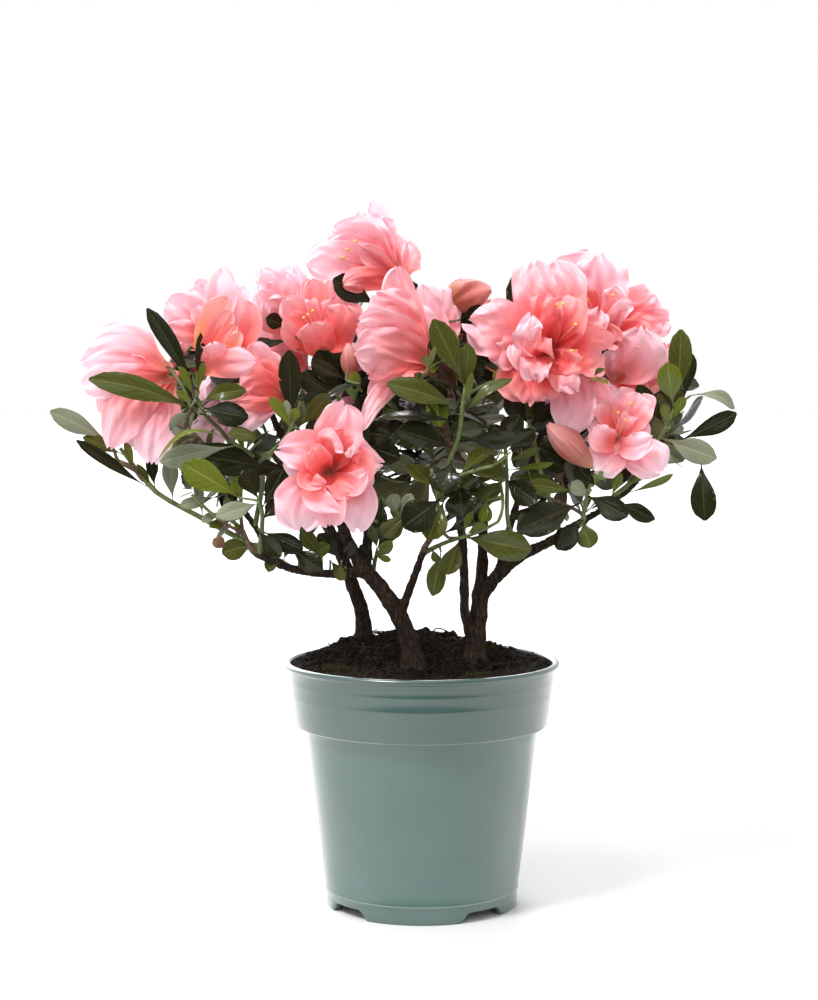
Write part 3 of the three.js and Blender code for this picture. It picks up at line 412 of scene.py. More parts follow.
MASSES = {
    "far_left": {
        "middle": (-148, -22, 214), "reach": 32, "seed": 11, "more": 0, "fine": 0, "leaves": 1,
        "shoots": [
            rosette((-141, -21, 215)),
            rosette((-129, -22, 203)),
        ],
    },
    "outer_left": {
        "middle": (-119, -30, 240), "reach": 37, "seed": 12, "more": 2, "fine": 1, "leaves": 3,
        "shoots": [
            rosette((-103, -31, 238)),
            bloom((-134, -25, 237), (-0.62, -0.3, -0.72), 56, 0.75, "pale", 3, form="hanging"),
            rosette((-114, -34, 214)),
        ],
    },
    "upper_left": {
        "middle": (-86, -14, 268), "reach": 38, "seed": 13, "more": 4, "fine": 3, "leaves": 6,
        "shoots": [
            bloom((-101, -5, 283), (-0.25, -0.3, 0.92), 40, 0.6, "pale", 4, form="left_pale"),
            bloom((-85, -27, 262), (0.25, -0.6, 0.75), 34, 0.4, "coral", 4, form="left_cup"),
            bloom((-76, -30, 241), (0.2, -0.6, -0.7), 38, 0.45, "coral", 4, form="left_low"),
        ],
    },
    "front_left": {
        "middle": (-46, -56, 203), "reach": 40, "seed": 14, "more": 5, "fine": 6, "leaves": 7,
        "shoots": [
            bloom((-41, -60, 208), (0.05, -0.98, 0.1), 56, 0.85, "pink", 6, form="front"),
            rosette((-62, -48, 232)),
            rosette((-20, -44, 184)),
        ],
    },
    "top": {
        "middle": (-42, 6, 290), "reach": 40, "seed": 15, "more": 4, "fine": 4, "leaves": 6,
        "shoots": [
            bloom((-27, 10, 308), (-0.6, -0.25, 0.78), 60, 0.7, "pale", 3, form="top"),
            bloom((-48, -6, 277), (-0.1, -0.65, 0.75), 38, 0.45, "coral", 5, form="coral_cup"),
            bloom((-70, 28, 288), (-0.35, 0, 0.93), 34, 0.6, "pale", 2, form="back_pale"),
            bud((-33, -14, 257), (0, -0.4, 0.9), 12, "deep", form="small_bud"),
        ],
    },
    "centre": {
        "middle": (8, -30, 252), "reach": 40, "seed": 16, "more": 4, "fine": 9, "leaves": 9,
        "shoots": [
            bloom((-11, -34, 268), (-0.66, -0.35, 0.66), 52, 0.75, "pink", 3, form="open_left"),
            bud((8, -6, 279), (0.2, -0.2, 0.95), 26, "pale", form="pale_closed"),
            bud((19, 2, 289), (0.93, 0, 0.3), 26, "deep", form="top_bud"),
            rosette((19, -31, 234)),
        ],
    },
    "upper_right": {
        "middle": (74, -6, 272), "reach": 44, "seed": 17, "more": 3, "fine": 4, "leaves": 6,
        "shoots": [
            bloom((54, -22, 267), (-0.2, -0.95, 0.1), 62, 0.95, "pink", 8, form="big"),
            bloom((89, 0, 281), (0.3, -0.75, 0.55), 54, 0.85, "pink", 7, form="behind_right"),
            bloom((103, 8, 257), (0.75, -0.45, 0.2), 38, 0.6, "pale", 3, form="right_pale"),
            bloom((68, 22, 286), (-0.1, 0.6, 0.75), 46, 0.8, "pink", 5),
        ],
    },
    "far_right": {
        "middle": (114, -15, 215), "reach": 38, "seed": 18, "more": 1, "fine": 0, "leaves": 1,
        "shoots": [
            bloom((90, -26, 221), (0.3, -0.93, 0.05), 44, 0.75, "pale", 5, form="low_right"),
            bud((67, -30, 219), (-0.1, -0.35, 0.9), 20, "deep", form="low_bud"),
            rosette((113, -10, 220)),
            rosette((105, 4, 214)),
        ],
    },
    "low_centre": {
        "middle": (14, -42, 190), "reach": 36, "seed": 19, "more": 4, "fine": 7, "leaves": 7,
        "shoots": [
            rosette((12, -34, 176)),
            rosette((34, -42, 184), tint="bright"),
            rosette((4, -50, 208)),
        ],
    },
    "low_left": {
        "bough": "left",
        "middle": (-88, -34, 192), "reach": 36, "seed": 20, "more": 3, "fine": 1, "leaves": 3,
        "shoots": [
            rosette((-84, -38, 178)),
            rosette((-104, -38, 196), tint="bright"),
        ],
    },
    "low_right": {
        "bough": "right",
        "middle": (72, -22, 190), "reach": 34, "seed": 21, "more": 2, "fine": 1, "leaves": 2,
        "shoots": [
            rosette((76, -15, 187)),
            rosette((52, -30, 196)),
        ],
    },
    "back_left": {
        "middle": (-84, 58, 226), "reach": 54, "seed": 22, "more": 6, "blooms": 3, "fine": 10, "leaves": 7,
    },
    "back_centre": {
        "middle": (0, 76, 228), "reach": 54, "seed": 23, "more": 6, "blooms": 3, "fine": 12, "leaves": 8,
    },
    "back_right": {
        "middle": (84, 58, 224), "reach": 54, "seed": 24, "more": 5, "blooms": 3, "fine": 10, "leaves": 7,
    },
    "back_top": {
        "middle": (12, 42, 268), "reach": 42, "seed": 25, "more": 4, "blooms": 2, "fine": 7, "leaves": 8,
    },
}

# Shoots that the photograph shows: the stem's places, then its leaves. A place is its column and row
# in the photograph and its depth in mm. A leaf has its foot, its tip, its width in mm, how far it is
# rolled away from the camera in radians, its tint, and where it is given, how far it arches as a
# share of its length.

# Leaves in the crown's shade take the dark tint, which is partly painted shade. Glossy leaves that catch
# reflected light take the grey tint, which is a painted sheen.
SPRAYS = [
    (
        [(222, 432, -28), (206, 416, -33), (197, 398, -34)],
        [
            ((196, 390, -34), (147, 308, -37), 9, 0.3, "dark", 0.03),
            ((197, 413, -34), (88, 379, -48), 11.5, 0.5, "mid", 0.11),
            ((199, 392, -31), (201, 333, -28), 5, 0.2, "dark"),
            ((203, 402, -36), (246, 390, -42), 8, -0.3, "mid", 0.3),
            ((204, 408, -37), (248, 417, -46), 11.5, 0.1, "dark", 0.1),
            ((198, 410, -28), (171, 432, -24), 10, 0.1, "grey"),
            ((195, 398, -36), (180, 366, -40), 4, 0.4, "bright"),
            ((197, 396, -37), (203, 362, -38), 3.5, 0.4, "bright"),
            ((194, 402, -36), (176, 392, -40), 4.5, 0.3, "bright"),
        ],
    ),
    (
        [(262, 470, -28), (248, 452, -32), (232, 442, -36)],
        [
            ((230, 441, -37), (159, 457, -46), 6, 1.0, "bright", 0.28),
            ((234, 446, -36), (160, 462, -42), 10, 0.3, "grey", 0.04),
            ((300, 472, -26), (180, 454, -38), 15, 0.3, "dark", 0.02),
            ((262, 440, -40), (228, 434, -48), 9, 0.6, "mid", 0.1),
            ((248, 452, -32), (276, 436, -40), 9, 0.3, "dark"),
        ],
    ),
    (
        [(262, 528, -38), (262, 512, -42), (258, 496, -44)],
        [
            ((240, 498, -40), (183, 464, -46), 14, 0.2, "bright", 0.05),
            ((240, 500, -38), (236, 476, -40), 7, 0.2, "bright"),
            ((259, 503, -46), (216, 517, -56), 9, 0.2, "grey", 0.02),
            ((258, 500, -44), (244, 470, -44), 10, 0.2, "dark"),
            ((262, 508, -44), (283, 470, -40), 10, 0.2, "dark"),
            ((258, 530, -40), (281, 557, -44), 9, 0.2, "dark"),
            ((262, 520, -44), (280, 500, -40), 8, 0.2, "dark"),
        ],
    ),
    (
        [(240, 529, -27), (222, 512, -32)],
        [
            ((222, 510, -32), (202, 522, -38), 4.5, 0.5, "grey"),
            ((236, 518, -32), (209, 527, -38), 4.5, 0.5, "mid"),
            ((234, 520, -32), (216, 539, -36), 3.5, 0.5, "grey"),
            ((216, 497, -30), (180, 506, -36), 6.5, 0.3, "grey"),
            ((203, 517, -24), (196, 480, -26), 5, 0.4, "grey"),
            ((173, 501, -23), (168, 458, -26), 8, 0.2, "grey"),
        ],
    ),
    (
        [(157, 493, -22), (134, 466, -21), (120, 448, -22)],
        [
            ((108, 440, -21), (50, 411, -28), 9.5, 0.1, "grey", 0.06),
            ((122, 454, -21), (83, 437, -26), 7, 0.3, "mid"),
            ((146, 486, -22), (76, 440, -32), 6, 0.4, "dark", -0.03),
            ((126, 452, -22), (134, 428, -20), 3.5, 0.4, "dark"),
            ((134, 468, -22), (124, 442, -26), 5, 0.5, "bright"),
            ((155, 488, -22), (150, 456, -22), 6, 0.4, "dark"),
            ((153, 488, -22), (137, 464, -24), 4, 0.6, "mid"),
        ],
    ),
    (
        [(258, 552, -30), (248, 548, -34)],
        [
            ((256, 543, -32), (222, 553, -40), 10, 0.1, "mid", 0.03),
            ((240, 540, -32), (236, 522, -34), 3, 0.5, "bright"),
            ((226, 549, -38), (213, 539, -40), 6, 0.3, "dry", 0.2),
            ((284, 560, -28), (291, 540, -30), 5, 0.4, "dry"),
            ((290, 548, -30), (322, 571, -36), 10, 0.2, "dark"),
            ((300, 560, -24), (330, 545, -28), 7, 0.2, "mid"),
            ((330, 560, -20), (345, 580, -24), 6, 0.3, "mid"),
            ((264, 532, -30), (303, 550, -34), 9, 0.2, "dark"),
            ((322, 556, -26), (300, 530, -30), 8, 0.3, "mid"),
            ((342, 560, -22), (318, 534, -26), 8, 0.2, "dark"),
            ((300, 556, -30), (284, 536, -32), 6, 0.3, "bright"),
            ((345, 566, -18), (352, 540, -22), 6, 0.3, "dark"),
            ((278, 548, -28), (268, 572, -32), 6, 0.3, "mid"),
        ],
    ),
    (
        [(278, 446, -44), (288, 434, -50), (293, 424, -52)],
        [
            ((298, 428, -52), (329, 394, -56), 9.5, 0.2, "mid", 0.04),
            ((293, 429, -52), (270, 397, -54), 5.5, 0.4, "bright"),
            ((293, 424, -53), (296, 408, -55), 4.5, 0.2, "bright"),
            ((289, 432, -50), (286, 400, -50), 4, 0.3, "grey"),
            ((291, 424, -30), (289, 350, -26), 11, 0.2, "dark"),
            ((346, 379, -20), (311, 362, -26), 7, 0.4, "dark"),
            ((360, 384, -30), (327, 396, -36), 5, 0.6, "dark", 0.1),
            ((362, 392, -24), (352, 372, -26), 5, 0.4, "bright"),
            ((300, 402, -34), (319, 390, -38), 5, 0.5, "dark"),
        ],
    ),
    (
        [(352, 452, -12), (344, 420, -8), (336, 392, -6)],
        [
            ((336, 392, -6), (318, 350, -8), 13, 0.2, "dark"),
            ((337, 396, -8), (300, 374, -10), 12, 0.3, "dark"),
            ((338, 400, -8), (372, 372, -10), 12, 0.3, "dark"),
            ((340, 408, -10), (304, 402, -14), 13, 0.3, "dark"),
            ((342, 414, -10), (384, 402, -14), 13, 0.3, "dark"),
            ((346, 424, -12), (312, 436, -16), 12, 0.2, "dark"),
            ((348, 430, -12), (392, 436, -16), 13, 0.2, "dark"),
            ((337, 394, -4), (348, 352, -4), 11, 0.3, "dark"),
            ((345, 420, -14), (368, 446, -20), 12, 0.2, "dark"),
            ((350, 440, -12), (400, 458, -16), 12, 0.2, "dark"),
        ],
    ),
    (
        [(396, 330, -2), (388, 312, 0)],
        [
            ((377, 306, 0), (333, 279, -6), 13, 0.2, "dark"),
            ((390, 318, 2), (352, 330, -4), 13, 0.2, "dark"),
            ((410, 308, -6), (412, 281, -10), 7, 0.4, "dark", 0.1),
            ((287, 326, 8), (266, 318, 4), 8, 0.2, "dark"),
            ((459, 320, -6), (484, 307, -10), 7, 0.3, "dark"),
            ((458, 345, -10), (478, 326, -12), 5, 0.4, "dark"),
        ],
    ),
    (
        [(449, 462, -40), (459, 436, -44), (462, 410, -47), (465, 388, -47)],
        [
            ((464, 384, -47), (433, 319, -54), 11.5, 0.15, "mid", 0.05),
            ((460, 407, -47), (386, 383, -56), 11, 0.25, "mid", 0.06),
            ((465, 412, -47), (512, 379, -46), 6, -0.6, "mid", 0.15),
            ((466, 392, -46), (468, 343, -46), 8.5, 0.2, "mid"),
            ((470, 396, -46), (456, 352, -42), 6, 0.3, "bright"),
            ((461, 424, -46), (380, 418, -42), 6, 0.6, "dark", 0.1),
            ((460, 438, -45), (517, 438, -44), 10, 0.4, "dark", 0.06),
            ((453, 448, -42), (397, 430, -44), 14, 0.4, "dark", 0.03),
            ((452, 460, -44), (443, 493, -52), 15, 0.3, "dark", 0.06),
            ((466, 402, -47), (472, 372, -50), 4, 0.4, "bright"),
        ],
    ),
    (
        [(446, 480, -38), (441, 500, -42)],
        [
            ((440, 500, -43), (403, 527, -52), 15, 0.2, "dark", 0.03),
            ((444, 500, -42), (428, 540, -46), 13, 0.2, "mid"),
            ((409, 512, -36), (383, 537, -42), 10, 0.15, "mid"),
            ((458, 480, -40), (463, 516, -48), 15, 0.2, "dark"),
            ((397, 515, -30), (391, 494, -32), 8, 0.1, "grey"),
            ((400, 514, -31), (412, 494, -33), 6, 0.1, "grey"),
            ((382, 498, -34), (376, 528, -38), 9, 0.2, "dark"),
        ],
    ),
    (
        [(374, 566, -10), (377, 552, -14)],
        [
            ((376, 558, -14), (392, 541, -18), 6, 0.2, "bright"),
            ((376, 550, -14), (397, 523, -18), 8, 0.2, "dark"),
            ((375, 556, -14), (391, 560, -18), 3.5, 0.4, "bright"),
            ((377, 548, -14), (372, 524, -18), 7, 0.2, "mid"),
            ((375, 562, -12), (360, 545, -16), 6, 0.3, "dark"),
        ],
    ),
    (
        [(425, 553, -20), (442, 544, -26), (462, 537, -32)],
        [
            ((441, 552, -26), (432, 596, -34), 9.5, -0.2, "mid", 0.03),
            ((460, 539, -32), (447, 575, -38), 9.5, 0.15, "mid"),
            ((464, 537, -32), (532, 549, -44), 15, 0.15, "mid", 0.03),
            ((463, 535, -32), (472, 508, -34), 4, 0.4, "bright"),
            ((466, 534, -33), (486, 524, -36), 5, 0.4, "bright"),
            ((432, 549, -24), (437, 562, -26), 4, 0.4, "mid"),
        ],
    ),
    (
        [(508, 522, -10), (507, 480, -22), (505, 440, -30)],
        [
            ((506, 479, -28), (538, 502, -42), 12, 0.2, "dark", 0.04),
            ((504, 480, -26), (484, 500, -34), 7, 0.3, "mid"),
            ((508, 476, -26), (550, 477, -32), 3.5, 0.5, "mid"),
            ((508, 470, -26), (553, 463, -30), 3.5, 0.5, "bright"),
            ((506, 462, -28), (540, 448, -30), 4, 0.5, "mid"),
            ((505, 445, -30), (490, 425, -34), 7, 0.3, "dark"),
            ((505, 442, -30), (520, 415, -34), 8, 0.3, "dark"),
            ((506, 452, -30), (535, 430, -34), 8, 0.3, "dark"),
            ((486, 500, -34), (482, 523, -36), 5, 0.3, "bright"),
            ((486, 500, -34), (488, 522, -35), 4.5, -0.3, "bright"),
        ],
    ),
    (
        [(538, 462, -8), (534, 440, -8), (528, 420, -8)],
        [
            ((529, 424, -8), (506, 396, -10), 11, 0.2, "dark"),
            ((530, 426, -8), (552, 402, -8), 11, 0.3, "dark"),
            ((532, 432, -8), (566, 424, -10), 11, 0.3, "dark"),
            ((532, 434, -8), (500, 424, -12), 11, 0.3, "dark"),
            ((536, 446, -8), (574, 446, -12), 10, 0.3, "dark"),
            ((536, 450, -8), (566, 470, -12), 9, 0.3, "dark"),
            ((534, 440, -8), (512, 452, -12), 10, 0.3, "dark"),
            ((527, 420, -8), (534, 396, -6), 7, 0.4, "mid"),
        ],
    ),
    (
        [(452, 372, 6), (456, 352, 4), (460, 336, 2)],
        [
            ((460, 336, 0), (490, 330, -2), 10, 0.3, "dark"),
            ((461, 334, 0), (482, 310, -2), 9, 0.3, "dark"),
            ((460, 334, 2), (464, 308, 0), 8, 0.3, "dark"),
            ((458, 346, 2), (492, 352, 0), 11, 0.3, "dark"),
            ((457, 352, 2), (484, 374, 0), 10, 0.3, "dark"),
        ],
    ),
    (
        [(582, 522, -18), (586, 500, -22), (590, 486, -25)],
        [
            ((580, 503, -24), (517, 531, -42), 16, 0.2, "dark", 0.03),
            ((570, 506, -26), (510, 517, -34), 6, 0.5, "dark"),
            ((576, 491, -26), (527, 484, -36), 7, 0.3, "mid"),
            ((588, 498, -24), (571, 482, -28), 7, 0.3, "grey"),
            ((588, 496, -25), (628, 516, -32), 11, 0.2, "dark"),
            ((617, 502, -20), (655, 519, -28), 8.5, 0.2, "dark", 0.02),
            ((582, 520, -20), (557, 549, -28), 11, 0.2, "dark"),
            ((583, 520, -20), (590, 548, -24), 10, 0.2, "mid"),
            ((592, 484, -25), (576, 464, -26), 8, 0.2, "dark"),
            ((594, 486, -25), (600, 470, -27), 5, 0.3, "bright"),
        ],
    ),
    (
        [
            (612, 498, -14), (627, 486, -14), (641, 468, -13),
            (655, 444, -12), (668, 424, -11), (676, 404, -11),
        ],
        [
            ((678, 402, -12), (681, 329, -16), 11, 0.1, "mid", 0.04),
            ((673, 405, -14), (667, 363, -24), 11.5, 0.1, "bright", 0.04),
            ((683, 402, -8), (693, 354, -4), 6, 0.3, "dark"),
            ((664, 424, -10), (637, 385, -8), 8, 0.2, "dark"),
            ((690, 396, -9), (735, 408, -8), 7.5, -0.8, "grey", 0.2),
            ((678, 441, -12), (737, 413, -12), 9, 0.3, "dark", 0.04),
            ((666, 440, -14), (717, 458, -24), 12, 0.2, "grey", 0.04),
            ((701, 462, -15), (705, 521, -22), 12, 0.1, "dark", 0.03),
            ((656, 446, -12), (672, 462, -14), 5, 0.4, "grey"),
            ((630, 492, -14), (673, 474, -18), 4.5, 0.6, "bright", 0.05),
            ((612, 496, -15), (620, 472, -18), 5, 0.4, "bright"),
            ((628, 486, -14), (650, 470, -16), 4, 0.5, "bright"),
            ((668, 424, -12), (664, 404, -16), 5, 0.3, "bright"),
            ((672, 420, -12), (684, 396, -14), 5, 0.3, "bright"),
            ((664, 432, -10), (684, 428, -8), 5, 0.4, "grey"),
        ],
    ),
]

# The photograph's rows between which foliage fills the crown: column, upper row, lower row
CROWN_ROWS = (
    (50, 430, 430), (100, 420, 440), (140, 400, 445), (160, 370, 460), (180, 345, 478),
    (200, 335, 498), (240, 320, 525), (280, 310, 548), (320, 300, 552), (360, 290, 540),
    (400, 300, 530), (440, 305, 535), (480, 310, 515), (520, 320, 505), (560, 330, 512),
    (600, 340, 500), (640, 345, 480), (680, 350, 455), (720, 395, 440), (745, 410, 420),
)

# Growth, as in the part

GAP = 0.32
CELL_MARGIN = 0.5
LIMB_CLEARANCE = 0.6
TWIG = {
    "root": 1.5,
    "tip": 0.75,
    "bend": 0.34,
    "straighten": 1.2,
    "run_cost": 0.3,
    "thin": 0.85,
    "forks": (0.35, 0.65, 1.0),
    "nearest": 3,
    "tried": 6,
    "checks": 9,
    "rising": 0.35,
    "clearance": 0.95,
    "woody_run": 26,
    "ring_step": 2.2,
    "sides": 7,
}
HUB = {"share": 0.45, "forks": (0.5, 1.0), "taper": 0.3, "overlap": 0.93, "end": 0.8}
LEAF = {
    "length": 28.0,
    "width": 12.4,
    "step": 2.4,
    "first": 0.4,
    "lowest": 0.12,
    "turn": 2.39996,
    "per_collar": 0.5,
    "collar_end": 0.9,
    "turns_in": (0.0, 0.3, 0.6),
    "marks": (0.45, 0.7, 0.95),
    "room": 3.6,
    "tilt": (0.45, 0.95, 0.25),
    "vary": (0.78, 0.34),
    "shoot": 0.5,
    "outward": 0.8,
    "young": 3,
    "young_length": 11.0,
    "young_vary": (0.7, 1.2),
    "young_width": 0.3,
    "young_tilt": (0.25, 0.2),
    "along": (0.25, 0.75),
    "along_step": 7.0,
    "along_least": 0.12,
    "along_vary": (0.65, 0.95),
}
BLOOM = {"depth": 0.45, "room": 2.0, "seat": 0.4}

# The windows round named shapes that seeded leaves keep out of, as shares of the shapes' widths.
# "behind" and "stem" are in mm.
WINDOW = {
    "middle": 1.15,
    "tip": 0.7,
    "bud": 1.5,
    "behind": 6,
    "leaf": 0.72,
    "leaf_shares": (0.25, 0.45, 0.65, 0.85),
    "stem": 2.4,
    "stem_shares": (0.3, 0.9),
}

# The part's seeded shoots, and the flowers on the highest of them
SEEDED = {
    "trials": 10,
    "share": 0.72,
    "apart": 60,
    "outward": 0.35,
    "ball": 1.25,
    "size": 46,
    "vary": (0.85, 0.3),
    "finer": 40,
    "tints": ("pink", "coral", "pale"),
    "open": (0.6, 0.15),
    "inner": 5,
}

# The room that seeded leaves keep within
CANOPY = {
    "left": -171,
    "right": 148,
    "front": -100,
    "back": 126,
    "top": 292,
    "drop": 62,
    "half_width": 155,
    "margin": 14,
}
CROWN_MIDDLE = np.array([-8.0, -4.0, 205.0])
UPTURN = np.array([0.0, 0.0, 0.25])
# Chance shares of the tints. The dark share is set high to darken the crown, which is partly painted shade.
LEAF_TINTS = (("dark", 0.78), ("mid", 0.95), ("bright", 1.0))


class Seeded:
    """The part's own run of random numbers."""

    def __init__(self, seed):
        self.state = seed * 7919

    def __call__(self):
        self.state = (self.state * 1664525 + 1013904223) & 0xFFFFFFFF
        return self.state / 4294967296

    def between(self, low, high):
        return low + (high - low) * self()


def unit(vector):
    return vector / np.linalg.norm(vector)


def smooth(low, high, value):
    t = np.clip((value - low) / (high - low), 0, 1)
    return t * t * (3 - 2 * t)


def mix(a, b, t):
    return a + (b - a) * t


def rows_of(vectors):
    return vectors / np.linalg.norm(vectors, axis=1)[:, None]


def between_turns(count):
    """Even turns once round an axis, in radians."""
    return np.linspace(0, TURN, count, endpoint=False)


# Curves


class Curve:
    """A line through space that is read by its share of length."""

    def __init__(self, points):
        self.points = np.asarray(points, float)
        steps = np.linalg.norm(np.diff(self.points, axis=0), axis=1)
        self.run = np.concatenate([[0.0], np.cumsum(steps)])
        self.length = self.run[-1]

    def at(self, t):
        s = np.clip(t, 0, 1) * self.length
        return np.stack([np.interp(s, self.run, self.points[:, k]) for k in range(3)], axis=-1)

    def tangent(self, t):
        return unit(self.at(min(1.0, t + 0.01)) - self.at(max(0.0, t - 0.01)))


def limb_curve(path):
    """A centripetal Catmull-Rom line, as the part draws its limbs."""
    points = [np.array(p, float) for p in path]
    points = [2 * points[0] - points[1], *points, 2 * points[-1] - points[-2]]
    line = []
    for a, b, c, d in zip(points, points[1:], points[2:], points[3:]):
        d0, d1, d2 = (np.sqrt(np.linalg.norm(q - p)) for p, q in ((a, b), (b, c), (c, d)))
        t1 = ((b - a) / d0 - (c - a) / (d0 + d1) + (c - b) / d1) * d1
        t2 = ((c - b) / d1 - (d - b) / (d1 + d2) + (d - c) / d2) * d1
        t = np.linspace(0, 1, 25)[:-1, None]
        line.append(b + t1 * t + (3 * (c - b) - 2 * t1 - t2) * t**2 + (2 * (b - c) + t1 + t2) * t**3)
    line.append(points[-2][None])
    return Curve(np.concatenate(line))


def twig_curve(start, heading, end):
    straight = end - start
    length = np.linalg.norm(straight)
    leave = unit(heading + straight * (TWIG["straighten"] / length))
    control = start + leave * length * TWIG["bend"]
    t = np.linspace(0, 1, 15)[:, None]
    return Curve((1 - t) ** 2 * start + 2 * t * (1 - t) * control + t**2 * end)


# Meshes


class Piece:
    """Grids of points that are written as one mesh."""

    def __init__(self, name, slot, material, replaces=()):
        self.name = name
        self.slot = slot
        self.material = material
        self.replaces = replaces
        self.points = []
        self.maps = []
        self.quads = []
        self.count = 0

    def grid(self, points, across=(0.0, 1.0), closed=False):
        """points is rows by columns by 3. The map runs along the rows, and over the columns by "across"."""
        rows, columns = points.shape[:2]
        index = self.count + np.arange(rows * columns).reshape(rows, columns)
        if closed:
            index = np.concatenate([index, index[:, :1]], axis=1)
        quads = np.stack([index[:-1, :-1], index[1:, :-1], index[1:, 1:], index[:-1, 1:]], axis=-1)
        along, over = np.meshgrid(np.linspace(0, 1, rows), np.linspace(*across, columns), indexing="ij")
        self.points.append(points.reshape(-1, 3))
        self.maps.append(np.stack([over, along], axis=-1).reshape(-1, 2))
        self.quads.append(quads.reshape(-1, 4))
        self.count += rows * columns

    def tube(self, points, radii, sides):
        """A tube round a line of points. A pair of radii stands for its two ends."""
        if isinstance(radii, tuple):
            radii = np.linspace(*radii, len(points))
        self.grid(tube_points(points, radii, sides), closed=True)

    def mesh(self):
        return new_mesh(self.name, np.concatenate(self.points), np.concatenate(self.quads))

    def write(self, mapped=True):
        mesh = self.mesh()
        if mapped:
            layer = mesh.uv_layers.new(name=BAKE_MAP)
            quads = np.concatenate(self.quads)
            layer.data.foreach_set("uv", np.concatenate(self.maps)[quads.ravel()].ravel())
        return place(mesh, self.slot, self.material, self.replaces)


def new_mesh(name, points, faces):
    mesh = bpy.data.meshes.new(name)
    size = faces.shape[1]
    mesh.vertices.add(len(points))
    mesh.vertices.foreach_set("co", (points * MM).astype(np.float32).ravel())
    mesh.loops.add(faces.size)
    mesh.loops.foreach_set("vertex_index", faces.astype(np.int32).ravel())
    mesh.polygons.add(len(faces))
    mesh.polygons.foreach_set("loop_start", np.arange(0, faces.size, size, dtype=np.int32))
    mesh.polygons.foreach_set("use_smooth", np.ones(len(faces), bool))
    mesh.update(calc_edges=True)
    mesh.validate()
    return mesh


def place(mesh, slot, material, replaces=()):
    piece = link(mesh.name, mesh)
    mesh.materials.append(material)
    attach(piece, "root")
    if replaces:
        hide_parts(*replaces)
    return piece


def link(name, data):
    """A new object of the scene."""
    thing = bpy.data.objects.new(name, data)
    bpy.context.scene.collection.objects.link(thing)
    return thing


def settle(piece):
    """Works a piece's modifiers into its mesh."""
    graph = bpy.context.evaluated_depsgraph_get()
    mesh = bpy.data.meshes.new_from_object(piece.evaluated_get(graph))
    piece.modifiers.clear()
    piece.data = mesh
    return mesh


def helper_for(direction):
    """An axis that isn't in line with a direction."""
    return UP if abs(direction[2]) < 0.9 else np.array([1.0, 0, 0])


def ring_frames(points):
    """Two directions square to a line at each of its points, without a twist along it."""
    tangents = rows_of(np.gradient(points, axis=0))
    side = np.cross(tangents[0], helper_for(tangents[0]))
    sides = []
    for tangent in tangents:
        side = unit(side - tangent * side.dot(tangent))
        sides.append(side)
    sides = np.array(sides)
    return sides, np.cross(tangents, sides)


def tube_points(points, radii, sides):
    """Rings round a line, closed at both ends by a ring that is nearly a point."""
    across, over = ring_frames(points)
    turn = between_turns(sides)
    points, across, over = (np.concatenate([a[:1], a, a[-1:]]) for a in (points, across, over))
    radii = np.concatenate([[radii[0] * 0.03], radii, [radii[-1] * 0.03]])
    spokes = np.cos(turn)[:, None] * across[:, None] + np.sin(turn)[:, None] * over[:, None]
    return points[:, None] + spokes * radii[:, None, None]


def relief(points, scale, depth, seed):
    """Smooth noise at each point, between about -depth and depth."""
    shift = Vector((seed * 7.13, seed * 3.71, seed * 5.37))
    scale = Vector(scale)
    values = []
    for point in points:
        x, y, z = Vector(point)
        values.append(noise.noise(Vector((x / scale.x, y / scale.y, z / scale.z)) + shift))
    return np.array(values) * depth


# Limbs and the room they take


def stem_tube(stem):
    foot = np.array(stem["foot"], float)
    curve = limb_curve([foot - (0, 0, STEM["sunk"]), *stem["path"]])

    def radius(t):
        above = np.maximum(0, t * curve.length - STEM["sunk"])
        return mix(*stem["radii"], t) + stem["flare"] * np.exp(-above / STEM["flare_run"])

    return curve, radius


def bough_tube(bough):
    def radius(t):
        return mix(*bough["radii"], t)

    return limb_curve(bough["path"]), radius


LIMBS = {f"stem_{name}": stem_tube(stem) for name, stem in STEMS.items()}
LIMBS.update({f"bough_{name}": bough_tube(bough) for name, bough in BOUGHS.items()})
SHARES = np.linspace(0, 1, 25)
LIMB_POINTS = np.concatenate([curve.at(SHARES) for curve, _ in LIMBS.values()])
LIMB_RADII = np.concatenate([radius(SHARES) for _, radius in LIMBS.values()])


def limb_clearance(points):
    gaps = np.linalg.norm(points[:, None] - LIMB_POINTS[None], axis=2) - LIMB_RADII
    return gaps.min(axis=1)


MIDDLES = {name: np.array(mass["middle"], float) for name, mass in MASSES.items()}


def cell_depth(name, points):
    """How far points lie inside a mass's own cell of space."""
    own = MIDDLES[name]
    own_power = ((points - own) ** 2).sum(axis=1) - MASSES[name]["reach"] ** 2
    depth = np.full(len(points), np.inf)
    for other, mass in MASSES.items():
        if other != name:
            middle = MIDDLES[other]
            power = ((points - middle) ** 2).sum(axis=1) - mass["reach"] ** 2
            depth = np.minimum(depth, (power - own_power) / (2 * np.linalg.norm(middle - own)))
    return depth


def fits(name, points, clearance):
    inside = cell_depth(name, points).min() >= CELL_MARGIN + clearance
    return inside and limb_clearance(points).min() >= LIMB_CLEARANCE + clearance


def under_canopy(points, margin):
    x, y, z = points.T
    rounding = CANOPY["drop"] * np.abs((x - CROWN_MIDDLE[0]) / CANOPY["half_width"]) ** 4
    room = np.stack(
        [
            x - CANOPY["left"],
            CANOPY["right"] - x,
            y - CANOPY["front"],
            CANOPY["back"] - y,
            CANOPY["top"] - rounding - z,
        ]
    )
    return room.min() > margin


# Shoots


def outward_face(place_at):
    return unit(unit(place_at - CROWN_MIDDLE) + UPTURN)


